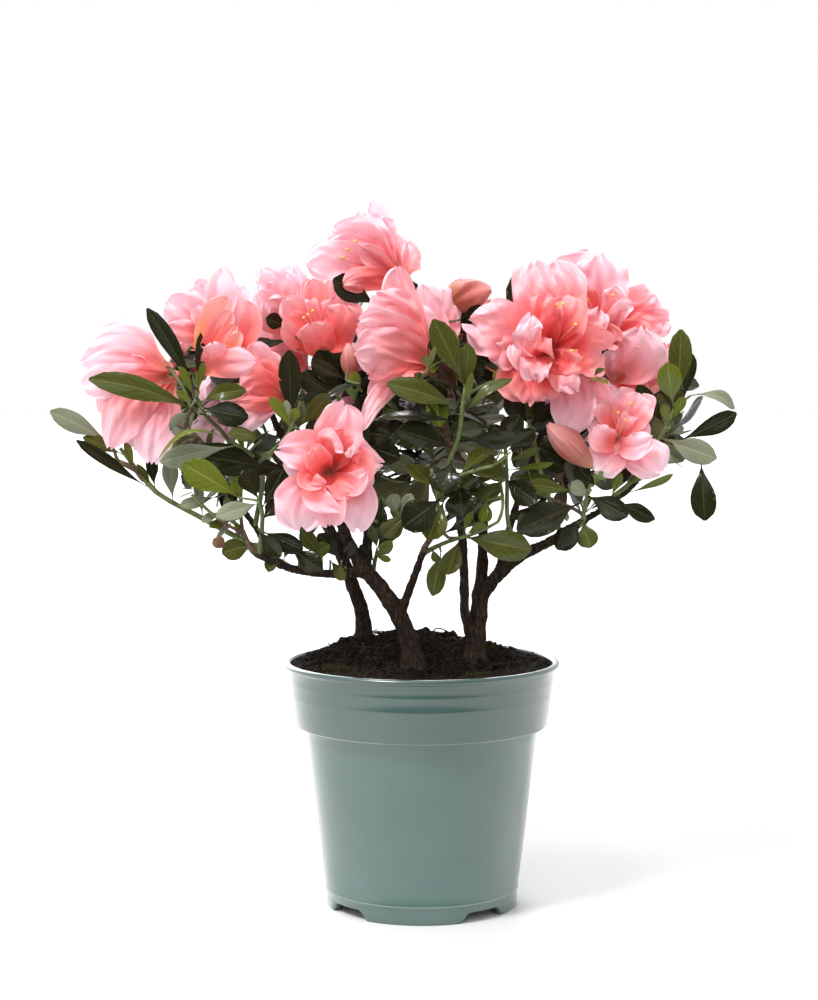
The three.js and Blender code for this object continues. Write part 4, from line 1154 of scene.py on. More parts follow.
def seeded_shoots(mass, count, random, places):
    """Seeded places: the candidate furthest from the others, and towards the outside."""
    middle = np.array(mass["middle"], float)
    outward = unit(middle - CROWN_MIDDLE)
    shoots = []
    for _ in range(count):
        best, best_score = None, -math.inf
        for _ in range(SEEDED["trials"]):
            offset = np.array([random() - 0.5, random() - 0.5, random() - 0.5]) * 2
            candidate = middle + offset * mass["reach"] * SEEDED["share"]
            nearest = min([SEEDED["apart"], *(np.linalg.norm(p - candidate) for p in places)])
            score = nearest + SEEDED["outward"] * (candidate - middle).dot(outward)
            inside = under_canopy(candidate[None], CANOPY["margin"])
            if inside and np.linalg.norm(offset) < SEEDED["ball"] and score > best_score:
                best, best_score = candidate, score
        if best is not None:
            least, more = SEEDED["vary"]
            places.append(best)
            size = SEEDED["size"] * (least + more * random())
            shoot = {"kind": "rosette", "place": best, "face": outward_face(best)}
            shoots.append({**shoot, "size": size, "seeded": True})
    return shoots


def mass_shoots(mass, random):
    """The part's shoots first, the highest seeded ones in flower, then the finer ones."""
    given = []
    for shoot in mass.get("shoots", ()):
        face = unit(np.array(shoot["face"], float)) if "face" in shoot else None
        given.append({**shoot, "place": np.array(shoot["at"], float), "face": face})
    places = [shoot["place"] for shoot in given]
    seeded = seeded_shoots(mass, mass["more"], random, places)
    seeded.sort(key=lambda shoot: -shoot["place"][2])
    least, more = SEEDED["open"]
    for index, shoot in enumerate(seeded[: mass.get("blooms", 0)]):
        tint = SEEDED["tints"][index % 3]
        shoot.update(kind="bloom", open=least + more * index, tint=tint, inner=SEEDED["inner"])
    finer = seeded_shoots(mass, mass["fine"], Seeded(mass["seed"] + SEEDED["finer"]), places)
    return given + seeded, finer


def shoot_foot(shoot):
    if shoot["kind"] == "bloom":
        return shoot["place"] - shoot["face"] * shoot["size"] * BLOOM["depth"]
    if shoot["kind"] == "bud":
        return shoot["place"] - shoot["face"] * shoot["size"] * BLOOM["seat"]
    return shoot["place"].copy()


def join_twig(name, nodes, foot):
    ranked = []
    for order, node in enumerate(nodes):
        distance = np.linalg.norm(node["point"] - foot)
        if distance > TWIG["nearest"]:
            ranked.append((distance + TWIG["run_cost"] * node["run"], order))
    for _, order in sorted(ranked)[: TWIG["tried"]]:
        node = nodes[order]
        curve = twig_curve(node["point"], node["heading"], foot)
        if fits(name, curve.at(np.linspace(0, 1, TWIG["checks"])), TWIG["clearance"]):
            return node, curve
    return None, None


def fork(curve, t, run, radius):
    """A place on the wood from which twigs may grow."""
    run = run + t * curve.length
    return {"point": curve.at(t), "heading": curve.tangent(t), "run": run, "radius": radius}


def grow_twigs(name, shoots, finer):
    """Hangs each shoot on the nearest wood, and gives the wood as curves with their radii."""
    mass = MASSES[name]
    bough, _ = LIMBS[f"bough_{mass.get('bough', name)}"]
    heading = bough.tangent(1.0)
    root = bough.at(1.0) + heading * GAP
    stem = twig_curve(root, heading, root + (MIDDLES[name] - root) * HUB["share"])
    hub = Curve(np.concatenate([[bough.at(HUB["overlap"])], stem.points]))
    wood = [(hub, TWIG["root"], TWIG["root"] * HUB["end"], 0)]
    nodes = [fork(stem, t, 0, TWIG["root"] * (1 - HUB["taper"] * t)) for t in HUB["forks"]]
    for group in (shoots, finer):
        for shoot in group:
            shoot["base"] = shoot_foot(shoot)
        group.sort(key=lambda shoot: np.linalg.norm(shoot["base"] - root))
        for shoot in group:
            spot = shoot["base"][None]
            if shoot.get("seeded") and (hides_flower(spot) or not in_crown(spot)):
                continue
            node, curve = join_twig(name, nodes, shoot["base"])
            if curve is None and shoot.get("form"):
                node = min(nodes, key=lambda node: np.linalg.norm(node["point"] - shoot["base"]))
                curve = twig_curve(node["point"], node["heading"], shoot["base"])
            if curve is None:
                continue
            start = max(TWIG["tip"], node["radius"] * TWIG["thin"])
            wood.append((curve, start, TWIG["tip"], node["run"]))
            nodes += [fork(curve, t, node["run"], mix(start, TWIG["tip"], t)) for t in TWIG["forks"]]
            shoot["curve"] = curve
            rising = unit(mix(curve.tangent(1.0), UP, TWIG["rising"]))
            shoot["direction"] = shoot["face"] if shoot["kind"] != "rosette" else rising
    return wood


# Leaves: placed first, then drawn


def sideways(direction):
    return unit(np.cross(helper_for(direction), direction))


def spread(direction, turn, tilt):
    side = sideways(direction)
    other = np.cross(direction, side)
    return direction * math.cos(tilt) + (side * math.cos(turn) + other * math.sin(turn)) * math.sin(tilt)


def in_flower(flower, points):
    offset = points - flower["base"]
    height = offset @ flower["direction"]
    out = np.sqrt(np.maximum(0, (offset**2).sum(axis=1) - height**2))
    rim = flower["size"] * BLOOM["depth"]
    near = out < 0.5 * flower["size"] * (height / rim) + BLOOM["room"]
    return bool(((height > 0) & (height < rim + BLOOM["room"]) & near).any())


def photo_spots(points):
    """The columns and rows at which the photograph shows points."""
    offset = np.asarray(points) - EYE
    pitch = CAMERA["pitch"]
    ahead = offset[:, 1] * math.cos(pitch) - offset[:, 2] * math.sin(pitch)
    up = offset[:, 1] * math.sin(pitch) + offset[:, 2] * math.cos(pitch)
    scale = CAMERA["focal_px"] / ahead
    column, row = CAMERA["middle_px"]
    return np.stack([column + offset[:, 0] * scale, row - up * scale], axis=1)


def flower_windows():
    """Round windows in the photograph that the named shapes fill, with the shapes' depths."""
    windows = []
    px_per_mm = CAMERA["focal_px"] / -EYE[1]

    def add(spot, radius, behind=0):
        windows.append((np.array(spot[:2]), radius * px_per_mm, spot[2] + behind))

    for form in FLOWERS.values():
        for middle, tip, half, *_ in form.get("petals", ()):
            add(middle, half * WINDOW["middle"], WINDOW["behind"])
            add(tip, half * WINDOW["tip"], WINDOW["behind"])
        if "tip" in form:
            add((np.array(form["foot"]) + form["tip"]) / 2, form["half"] * WINDOW["bud"], WINDOW["behind"])
    for stem, leaves in SPRAYS:
        for start, end in zip(stem, stem[1:]):
            for share in WINDOW["stem_shares"]:
                add(mix(np.array(start, float), np.array(end, float), share), WINDOW["stem"])
        for foot, tip, width, *_ in leaves:
            for share in WINDOW["leaf_shares"]:
                add(mix(np.array(foot, float), np.array(tip, float), share), width * WINDOW["leaf"])
    return windows


def in_crown(points):
    """Whether the photograph shows the points between the crown's upper and lower rows."""
    columns, rows = photo_spots(points).T
    edges, tops, bottoms = zip(*CROWN_ROWS)
    inside = (rows > np.interp(columns, edges, tops)) & (rows < np.interp(columns, edges, bottoms))
    return bool((inside & (columns > edges[0]) & (columns < edges[-1])).all())


def hides_flower(points):
    """Whether any of the points lies before a named flower, as the camera sees it."""
    spots = photo_spots(points)
    for spot, radius, depth in FLOWER_WINDOWS:
        near = np.linalg.norm(spots - spot, axis=1) < radius
        if (near & (points[:, 1] < depth)).any():
            return True
    return False


class LeafBook:
    """The leaves of one mass, and the room that they and its flowers have taken."""

    def __init__(self, name, flowers):
        self.name = name
        self.flowers = flowers
        self.marks = np.zeros((0, 3))
        self.leaves = []

    def add(self, base, direction, up, length, tint, room=LEAF["room"]):
        """Turns a leaf towards the middle of its cell where it would leave it, else skips it."""
        inward = unit(MIDDLES[self.name] - base)
        width = LEAF["width"] * length / LEAF["length"]
        for turn in LEAF["turns_in"]:
            aim = unit(mix(direction, inward, turn))
            side = unit(np.cross(up, aim))
            marks = np.stack([base + aim * length * share for share in LEAF["marks"]])
            edges = np.stack([marks[0] + side * width / 2, marks[0] - side * width / 2])
            corners = np.concatenate([marks, edges])
            if not (under_canopy(corners, 0) and fits(self.name, corners, 0)):
                continue
            if any(in_flower(flower, marks) for flower in self.flowers):
                continue
            if hides_flower(marks) or not in_crown(marks):
                continue
            if len(self.marks):
                gaps = np.linalg.norm(self.marks[None] - marks[:, None], axis=2)
                if gaps.min() < room:
                    continue
            self.marks = np.concatenate([self.marks, marks])
            leaf = {"base": base, "aim": aim, "side": side, "length": length, "width": width, "tint": tint}
            self.leaves.append(leaf)
            return


def pick_tint(random):
    share = random()
    return next(name for name, upto in LEAF_TINTS if share <= upto)


def grow_rosette(book, shoot, random, count, end):
    """Leaves round the end of a twig, the outer ones further down it and spread wider."""
    curve = shoot["curve"]
    is_rosette = shoot["kind"] == "rosette"
    tint = (shoot.get("tint") if is_rosette else None) or pick_tint(random)
    direction = shoot["direction"] if is_rosette else curve.tangent(1.0)
    up = direction * LEAF["shoot"] + outward_face(curve.at(1.0)) * LEAF["outward"]
    start = random() * TURN
    inner, outer, vary = LEAF["tilt"]
    least, more = LEAF["vary"]
    for k in range(count):
        tilt = inner + outer * (k / count) + vary * random()
        length = LEAF["length"] * (least + more * random())
        aim = spread(direction, start + k * LEAF["turn"], tilt)
        share = end - LEAF["step"] * (k + LEAF["first"]) / curve.length
        book.add(curve.at(max(LEAF["lowest"], share)), aim, up, length, tint)
    if is_rosette and not hides_flower(shoot["place"][None]):
        grow_young(book, curve, direction, start, random)


def grow_young(book, curve, direction, start, random):
    """The small leaves that are still folded round a shoot's tip."""
    least, more = LEAF["young_tilt"]
    for k in range(LEAF["young"]):
        aim = spread(direction, start + 1 + k * LEAF["turn"], least + more * random())
        length = LEAF["young_length"] * random.between(*LEAF["young_vary"])
        leaf = {"base": curve.at(0.99), "aim": aim, "side": sideways(aim), "tint": "bright"}
        book.leaves.append({**leaf, "length": length, "width": length * LEAF["young_width"]})


def grow_leaves(name, shoots, random):
    """The leaves of a mass: at the shoots' tips first, then along the twigs."""
    book = LeafBook(name, [shoot for shoot in shoots if shoot["kind"] != "rosette"])
    leaves = MASSES[name]["leaves"]
    for shoot in shoots:
        if shoot["kind"] == "rosette":
            grow_rosette(book, shoot, random, leaves, 1.0)
        else:
            grow_rosette(book, shoot, random, round(leaves * LEAF["per_collar"]), LEAF["collar_end"])
    for shoot in shoots:
        curve = shoot["curve"]
        for at in np.arange(*LEAF["along"], max(LEAF["along_least"], LEAF["along_step"] / curve.length)):
            aim = spread(curve.tangent(at), random() * TURN, 1.0)
            length = LEAF["length"] * random.between(*LEAF["along_vary"])
            book.add(curve.at(at), aim, UP, length, pick_tint(random))
    return book.leaves


# A leaf's outline as powers of its length, and the ranges of its bend, fold and twist
LEAF_SKIN = {
    "rows": 11,
    "columns": 7,
    "widest": (0.58, 0.69),
    "foot_power": (0.9, 1.2),
    "tip_power": 2.3,
    "blunt": 0.58,
    "least": 0.055,
    "bend": (-0.2, 0.12),
    "fold": (0.2, 0.5),
    "twist": (-0.35, 0.35),
    "wave": 0.05,
    "thick": (0.3, 0.02),
}


def leaf_points(leaf, random):
    """The upper and lower skin of a leaf: narrow at its foot, widest past the middle."""
    skin = LEAF_SKIN
    u = np.linspace(0, 1, skin["rows"])[:, None]
    v = np.linspace(-1, 1, skin["columns"])[None]
    widest = random.between(*skin["widest"])
    past = np.maximum(0, u - widest) / (1.005 - widest)
    body = smooth(0, widest, u) ** random.between(*skin["foot_power"])
    body = body * np.clip(1 - past ** skin["tip_power"], 0, 1) ** skin["blunt"]
    half = leaf["width"] / 2 * np.maximum(body, skin["least"])
    length = leaf["length"]
    bend = random.between(*skin["bend"])
    fold = random.between(*skin["fold"])
    twist = random.between(*skin["twist"]) * u
    wave = skin["wave"] * leaf["width"] * np.sin(u * 9 + random() * 6) * np.abs(v) ** 1.5
    along = u * length * (1 - 0.05 * abs(bend)) * np.ones_like(v)
    bow = leaf.get("bow", 0) * 4 * u * (1 - u) * length
    droop = 0.5 * bend * (u**2 - u) if "bow" in leaf else bend * u**2
    profile = fold * np.abs(v) ** 1.2 - 0.22 * np.abs(v) ** 4
    rise = droop * length + bow + half * profile + wave
    across = v * half
    side = leaf["side"]
    over = np.cross(leaf["aim"], side)
    flat = across * np.cos(twist) - rise * np.sin(twist) * 0.3
    high = rise + across * np.sin(twist)
    top = leaf["base"] + along[..., None] * leaf["aim"] + flat[..., None] * side + high[..., None] * over
    middle, edge = skin["thick"]
    thick = (middle * (1 - v**2) + edge) * np.ones_like(u)
    under = top - thick[..., None] * over
    return top, under[:, ::-1]


def draw_skins(piece, leaf, random):
    """A leaf's two skins. The upper one takes the left half of the map."""
    top, under = leaf_points(leaf, random)
    piece.grid(top, (0.0, 0.5))
    piece.grid(under, (0.5, 1.0))


# Flowers

PETAL = {"length": 0.74, "width": 0.46, "rows": 25, "columns": 23, "foot": 1.6}
NAMED_PETAL = {
    "rows": 37,
    "columns": 31,
    "wider": 1.1,
    "widest": 0.6,
    "foot": -0.42,
    "blunt": 2.7,
    "round": 0.55,
    "least": 0.04,
    "untwist": 0.6,
    "foot_cup": 0.35,
    "fold_reach": 2.4,
    "groove": 0.035,
    "groove_width": 0.14,
    "crease": 0.8,
    "notch": (0.028, 0.006),
}

# How a petal leaves its tube, turns outward and waves. "tip" and "foot" are in degrees: closed,
# open and by chance.
CURL = {
    "vary": (0.9, 1.08),
    "tip": (14, 98, 12),
    "foot": 10,
    "spread_over": (0.16, 0.85),
    "recurve": (0.1, 0.8),
    "recurve_from": 0.72,
    "widest": 0.66,
    "wider": (0.88, 1.12),
    "cup": (-0.012, 0.022),
    "groove": 0.02,
    "groove_width": 0.18,
    "frill": 0.03,
    "lean": (-0.22, 0.22),
}

# The petals between and behind the named ones: between which turns, how far back and how long
BACKING = {
    "outer": 0.55,
    "least": 0.3,
    "most": 1.9,
    "behind": 3.5,
    "reach": 0.92,
    "width": 1.05,
    "cup": 0.4,
}

# The lobes behind the named petals. One is drawn where it points away from the camera, or where
# the flower faces the camera.
FUNNEL = {
    **PETAL,
    "rows": 15,
    "columns": 13,
    "size": 0.98,
    "opened": 0.9,
    "vary": (0.9, 1.1),
    "back": 1.5,
    "behind": 5.0,
    "away": 0.25,
    "facing": 0.85,
}
COLLAR = {"length": 0.85, "width": 0.42, "back": 5.0, "step": 1.5, "tilt": (-0.1, 0.25), "vary": (0.85, 1.1)}
PETALOID = {"length": 0.46, "width": 0.3, "rows": 13, "columns": 11, "foot": 1.2}
STAMEN = {
    "thick": (0.35, 0.22),
    "head": (0.3, 0.75, 0.85, 0.7, 0.3),
    "head_run": (-0.1, 0.35),
    "count": 6,
    "height": (0.34, 0.5),
    "lean": (0.1, 0.32),
    "bow": 0.12,
}
SEPAL = {"count": 5, "out": 0.45, "up": 0.9, "length": (6, 8.5), "width": 3.2, "below": 1.2, "back": 8.0}
PLUG = {"back": 5.0, "length": 7.5, "half": 2.8}
LOBES = {"count": 5, "vary": (-0.12, 0.12)}


def lobe_turns(start, random):
    """The turns of a funnel's five lobes. Each is drawn when it is asked for."""
    for k in range(LOBES["count"]):
        yield start + k * TURN / LOBES["count"] + random.between(*LOBES["vary"])


def petal_points(shape, size, turn, opened, random):
    """A petal in its flower's frame: it rises along the axis, turns outward, and waves at its rim."""
    u = np.linspace(0, 1, shape["rows"])[:, None]
    v = np.linspace(-1, 1, shape["columns"])[None]
    length = shape["length"] * size * random.between(*CURL["vary"])
    closed, flat, vary = CURL["tip"]
    tip = math.radians(mix(closed, flat, opened) + random.between(-vary, vary))
    alpha = mix(math.radians(CURL["foot"]), tip, smooth(*CURL["spread_over"], u))
    alpha = alpha + random.between(*CURL["recurve"]) * np.maximum(0, u - CURL["recurve_from"]) ** 2 * 8
    step = length / (shape["rows"] - 1)
    out = shape["foot"] + np.cumsum(np.sin(alpha), axis=0) * step
    rise = np.cumsum(np.cos(alpha), axis=0) * step
    widest = CURL["widest"]
    past = np.maximum(0, u - widest) / (1.015 - widest)
    body = smooth(-0.15, widest, u) * np.sqrt(np.clip(1 - past**2.6, 0, 1))
    half = length * shape["width"] * random.between(*CURL["wider"]) * body
    s = v * half
    cup = bend_of(mix(1 / (out + 1.5), random.between(*CURL["cup"]), smooth(0.1, 0.6, u)))
    lateral = np.sin(cup * s) / cup
    inward = (1 - np.cos(cup * s)) / cup
    phase = [random() * TURN for _ in range(8)]
    ruffle = length * ruffles(u, v, phase)
    groove = -CURL["groove"] * length * np.exp(-((v / CURL["groove_width"]) ** 2)) * smooth(0.25, 0.6, u)
    inward = inward + ruffle + groove + creases(u * length, v * half, random) * smooth(0.1, 0.4, u)
    frill = CURL["frill"] * length * smooth(0.75, 1, u) * np.sin(9 * v + phase[0] + phase[3])
    radial = out - inward * np.cos(alpha) + frill * np.sin(alpha)
    axial = rise + inward * np.sin(alpha) + frill * np.cos(alpha)
    lateral = lateral + random.between(*CURL["lean"]) * smooth(0.2, 1, u) * length * 0.5
    x = radial * math.cos(turn) - lateral * math.sin(turn)
    y = radial * math.sin(turn) + lateral * math.cos(turn)
    return np.stack([x, y, axial], axis=-1)


def bend_of(bend):
    """A bend that isn't too near zero to divide by."""
    return np.where(np.abs(bend) < 1e-3, 1e-3, bend)


def seen(column, row, depth):
    """The point at a depth that the photograph shows at this column and row."""
    middle_column, middle_row = CAMERA["middle_px"]
    right = (column - middle_column) / CAMERA["focal_px"]
    down = (row - middle_row) / CAMERA["focal_px"]
    sine, cosine = math.sin(CAMERA["pitch"]), math.cos(CAMERA["pitch"])
    ray = np.array([right, cosine - down * sine, -sine - down * cosine])
    return EYE + ray * (depth - EYE[1]) / ray[1]


def creases(along, across, random):
    """Low waves that run at chance slants over a petal, in mm."""
    height = 0
    for wave in (11.0, 7.5, 5.2, 3.8):
        slant = random.between(-0.5, 0.5)
        turn = TURN / wave
        shift = random() * TURN
        run = across * math.cos(slant) + along * math.sin(slant)
        height = height + 0.06 * wave * np.sin(turn * run + shift)
    return height


def ruffles(u, v, phase):
    """Folds that fan out from the foot and deepen to a frill at the rim, as shares of the petal."""
    sides = np.sin(15 * u + phase[0] * (2 + np.sign(v)) + 1.2 * np.sin(5 * u + phase[1]))
    waves = 0.065 * np.abs(v) ** 2 * smooth(0.2, 0.65, u) * sides
    waves = waves + 0.06 * smooth(0.45, 1, u) * np.sin(6.5 * v + phase[2] + 0.9 * np.sin(3 * v + phase[3]))
    waves = waves + 0.035 * smooth(0.15, 0.9, u) * np.sin(4.5 * u + 2.8 * v + phase[4])
    rim = smooth(0.55, 1, np.maximum(np.abs(v), u * np.ones_like(v))) * smooth(0.2, 0.5, u)
    waves = waves + 0.016 * rim * np.sin(13 * v + 11 * u * np.sign(v) + phase[5])
    return waves


def named_petal(piece, foot, petal, random, calm=1.0):
    """A petal that passes through the places named for it, and faces the camera."""
    shape = NAMED_PETAL
    middle, tip, half, cup, _, blunt = (*petal, shape["blunt"])[:6]
    middle, tip = seen(*middle), seen(*tip)
    u = np.linspace(0, 1, shape["rows"])[:, None]
    v = np.linspace(-1, 1, shape["columns"])[None]
    control = 2 * middle - (foot + tip) / 2
    line = (1 - u) ** 2 * foot + 2 * u * (1 - u) * control + u**2 * tip
    length = Curve(line).length
    along = rows_of(np.gradient(line, axis=0))
    view = unit(middle - EYE)
    side = rows_of(np.cross(view, along))
    side = rows_of(mix(side[len(side) // 2][None], side, shape["untwist"]))
    normal = np.cross(along, side)
    normal *= -np.sign(normal @ view)[:, None]
    past = np.maximum(0, u - shape["widest"]) / (1.01 - shape["widest"])
    body = smooth(shape["foot"], shape["widest"], u)
    body = body * np.clip(1 - past**blunt, 0, 1) ** shape["round"]
    phase = [random() * TURN for _ in range(8)]
    ragged = 1 + 0.07 * np.sin(8 * u + phase[0] * np.sign(v)) + 0.03 * np.sin(19 * u + phase[1] * np.sign(v))
    s = v * half * shape["wider"] * np.maximum(body, shape["least"]) * ragged
    bend = bend_of(mix(shape["foot_cup"], cup / half, smooth(0.05, 0.45, u)))
    across = np.sin(bend * s) / bend
    lift = (1 - np.cos(bend * s)) / bend
    reach = min(length, shape["fold_reach"] * half)
    groove = shape["groove"] * reach * np.exp(-((v / shape["groove_width"]) ** 2))
    lift = lift + reach * calm * ruffles(u, v, phase)
    lift = lift - groove * smooth(0.1, 0.5, u) * (1 - smooth(0.7, 1, u))
    lift = lift + shape["crease"] * calm * creases(u * length, v * half, random) * smooth(0.1, 0.4, u)
    wide, fine = shape["notch"]
    teeth = wide * np.sin(6.0 * v + phase[6]) + fine * np.sin(13 * v + phase[7])
    notch = reach * smooth(0.65, 1, u) * teeth
    points = line[:, None] + across[..., None] * side[:, None] + lift[..., None] * normal[:, None]
    piece.grid(points + notch[..., None] * along[:, None])


def backing(form):
    """Shorter petals that lie behind the gaps between the outer ones."""
    foot = np.array(form["foot"], float)
    back = np.array([0, 0, BACKING["behind"]])
    share = form.get("reach", BACKING["reach"])
    outer = []
    longest = max(np.linalg.norm((np.array(tip) - foot)[:2]) for _, tip, *_ in form["petals"])
    for middle, tip, half, _, tint, *_ in form["petals"]:
        middle, tip = np.array(middle, float), np.array(tip, float)
        right, down, _ = tip - foot
        if np.linalg.norm((right, down)) > BACKING["outer"] * longest:
            outer.append((math.atan2(down, right), middle, tip, half, tint))
    outer.sort(key=lambda petal: petal[0])
    for one, other in zip(outer, outer[1:] + outer[:1]):
        if BACKING["least"] < (other[0] - one[0]) % TURN < BACKING["most"]:
            middle = mix(foot, (one[1] + other[1]) / 2, share) + back
            tip = mix(foot, (one[2] + other[2]) / 2, share) + 2 * back
            half = (one[3] + other[3]) / 2 * BACKING["width"]
            yield middle, tip, half, BACKING["cup"], one[4]


def mean_reach(form, foot):
    """How far a named flower's petals reach from its foot."""
    reach = [np.linalg.norm(seen(*tip) - foot) for _, tip, *_ in form["petals"]]
    return sum(reach) / len(reach)


def draw_funnel(pieces, form, foot, direction, random):
    """The rest of a named flower's funnel, behind the petals that the photograph shows."""
    size = FUNNEL["size"] * mean_reach(form, foot)
    axes = flower_frame(direction)
    base = foot - FUNNEL["back"] * direction + (0, FUNNEL["behind"], 0)
    for k, turn in enumerate(lobe_turns(random() * TURN, random)):
        opened = form.get("opened", FUNNEL["opened"]) * random.between(*FUNNEL["vary"])
        points = petal_points(FUNNEL, size, turn, opened, random)
        tint = form["petals"][k % len(form["petals"])][4]
        outward = (math.cos(turn) * axes[0] + math.sin(turn) * axes[1])[1]
        if outward > FUNNEL["away"] or -direction[1] > FUNNEL["facing"]:
            pieces["petals_" + tint].grid(base + points @ axes)


def draw_leaf_collar(pieces, form, foot, direction, random):
    """The whorl of leaves that a flower facing the camera stands in."""
    axes = flower_frame(direction)
    length = COLLAR["length"] * mean_reach(form, foot)
    start = random() * TURN
    for k in range(form["collar"]):
        turn = start + k * TURN / form["collar"]
        out = math.cos(turn) * axes[0] + math.sin(turn) * axes[1]
        leaf = {
            "base": foot - (COLLAR["back"] + COLLAR["step"] * (k % 3)) * direction,
            "aim": unit(out + random.between(*COLLAR["tilt"]) * direction),
            "side": unit(np.cross(direction, out)),
            "length": length * random.between(*COLLAR["vary"]),
            "width": length * COLLAR["width"],
        }
        # The collar leaves take the dark tint, which is partly painted shade.
        draw_skins(pieces["leaves_dark"], leaf, random)


def join_foot(pieces, shoot, foot, direction):
    """The stalk from the twig's end to a named flower's foot."""
    curve = twig_curve(shoot["base"], unit(shoot["curve"].tangent(1.0)), foot)
    pieces["sprouts"].tube(curve.at(np.linspace(0, 1, 8)), (0.9, 1.1), 8)
    draw_sepals(pieces["sprouts"], foot - SEPAL["back"] * direction, flower_frame(direction), Seeded(5))


def draw_named_flower(pieces, shoot, random):
    form = FLOWERS[shoot["form"]]
    foot = seen(*form["foot"])
    if shoot["kind"] == "bud" and "tip" in form:
        tip = seen(*form["tip"])
        join_foot(pieces, shoot, foot, unit(tip - foot))
        draw_closed(pieces["petals_" + shoot["tint"]], foot, tip - foot, form["half"], random)
        return
    petals = form["petals"]
    middle = sum(seen(*petal[0]) for petal in petals) / len(petals)
    direction = unit(middle - foot)
    join_foot(pieces, shoot, foot, direction)
    draw_funnel(pieces, form, foot, direction, random)
    plug = foot - PLUG["back"] * direction
    draw_closed(pieces["petals_coral"], plug, PLUG["length"] * direction, PLUG["half"], random)
    if "collar" in form:
        draw_leaf_collar(pieces, form, foot, direction, Seeded(form["collar"]))
    for petal in (*petals, *backing(form)):
        named_petal(pieces["petals_" + petal[4]], foot, petal, random, form.get("frill", 1.0))
    for anther in form.get("stamens", ()):
        t = np.linspace(0, 1, 8)[:, None]
        bow = (middle - foot) * STAMEN["bow"] * np.sin(math.pi * t)
        draw_stamen(pieces, mix(foot, seen(*anther), t) + bow)


def draw_closed(piece, foot, reach, half, random):
    """A bud of wound petals from its foot, as long as "reach"."""
    axes = flower_frame(unit(reach))
    u = np.linspace(0, 1, 24)[:, None]
    turn = between_turns(44)[None]
    swell = np.sin(math.pi * np.clip(u, 0.004, 0.975) ** 0.92) ** 0.6
    wound = np.mod(turn * 4 / TURN + 1.1 * u + random(), 1.0)
    folds = 0.05 * np.sin(7 * turn + 5 * u) * smooth(0.2, 0.6, u)
    radius = half * swell * (0.84 + 0.24 * wound**2 * smooth(0.1, 0.5, u) + folds) + 0.02
    height = u * np.linalg.norm(reach) + 0 * turn
    points = np.stack([radius * np.cos(turn), radius * np.sin(turn), height], axis=-1)
    piece.grid(foot + points @ axes, closed=True)


def flower_frame(direction):
    side = sideways(direction)
    return np.stack([side, np.cross(direction, side), direction])


def draw_bloom(pieces, shoot, random):
    """Five ruffled lobes on a short tube, smaller petals in the throat, stamens and sepals."""
    base, size, opened = shoot["base"], shoot["size"], shoot["open"]
    axes = flower_frame(shoot["direction"])
    petals = pieces["petals_" + shoot["tint"]]
    start = random() * TURN
    for turn in lobe_turns(start, random):
        points = petal_points(PETAL, size, turn, opened * random.between(0.85, 1.1), random)
        petals.grid(base + points @ axes)
    for k in range(shoot["inner"]):
        turn = start + 0.6 + k * LEAF["turn"]
        tilt = opened * random.between(0.2, 0.75)
        points = petal_points(PETALOID, size * random.between(0.8, 1.1), turn, tilt, random)
        petals.grid(base + (points + (0, 0, 0.1 * size)) @ axes)
    draw_stamens(pieces, base, axes, size, opened, random)
    draw_sepals(pieces["sprouts"], base, axes, random)


def draw_stamen(pieces, line):
    """A thread with a small head on its end."""
    pieces["filaments"].tube(line, STAMEN["thick"], 5)
    head = np.array(STAMEN["head"])
    run = np.linspace(*STAMEN["head_run"], len(head))[:, None]
    pieces["anthers"].tube(line[-1] + (line[-1] - line[-2]) * run, head, 6)


def draw_stamens(pieces, base, axes, size, opened, random):
    for k in range(STAMEN["count"]):
        turn = k * TURN / STAMEN["count"] + random()
        out = np.linspace(0, 1, 7)[:, None]
        lean = random.between(*STAMEN["lean"]) * (0.4 + opened)
        height = size * random.between(*STAMEN["height"])
        x = np.cos(turn) * lean * out**1.5 * height
        y = np.sin(turn) * lean * out**1.5 * height
        draw_stamen(pieces, base + np.concatenate([x, y, out * height], axis=1) @ axes)


def draw_sepals(piece, base, axes, random):
    for k in range(SEPAL["count"]):
        turn = k * TURN / SEPAL["count"] + random.between(-0.2, 0.2)
        cosine, sine = math.cos(turn), math.sin(turn)
        sepal = {
            "base": base - axes[2] * SEPAL["below"],
            "aim": unit(np.array([cosine * SEPAL["out"], sine * SEPAL["out"], SEPAL["up"]]) @ axes),
            "side": np.array([-sine, cosine, 0]) @ axes,
            "length": random.between(*SEPAL["length"]),
            "width": SEPAL["width"],
        }
        draw_skins(piece, sepal, random)


# Materials


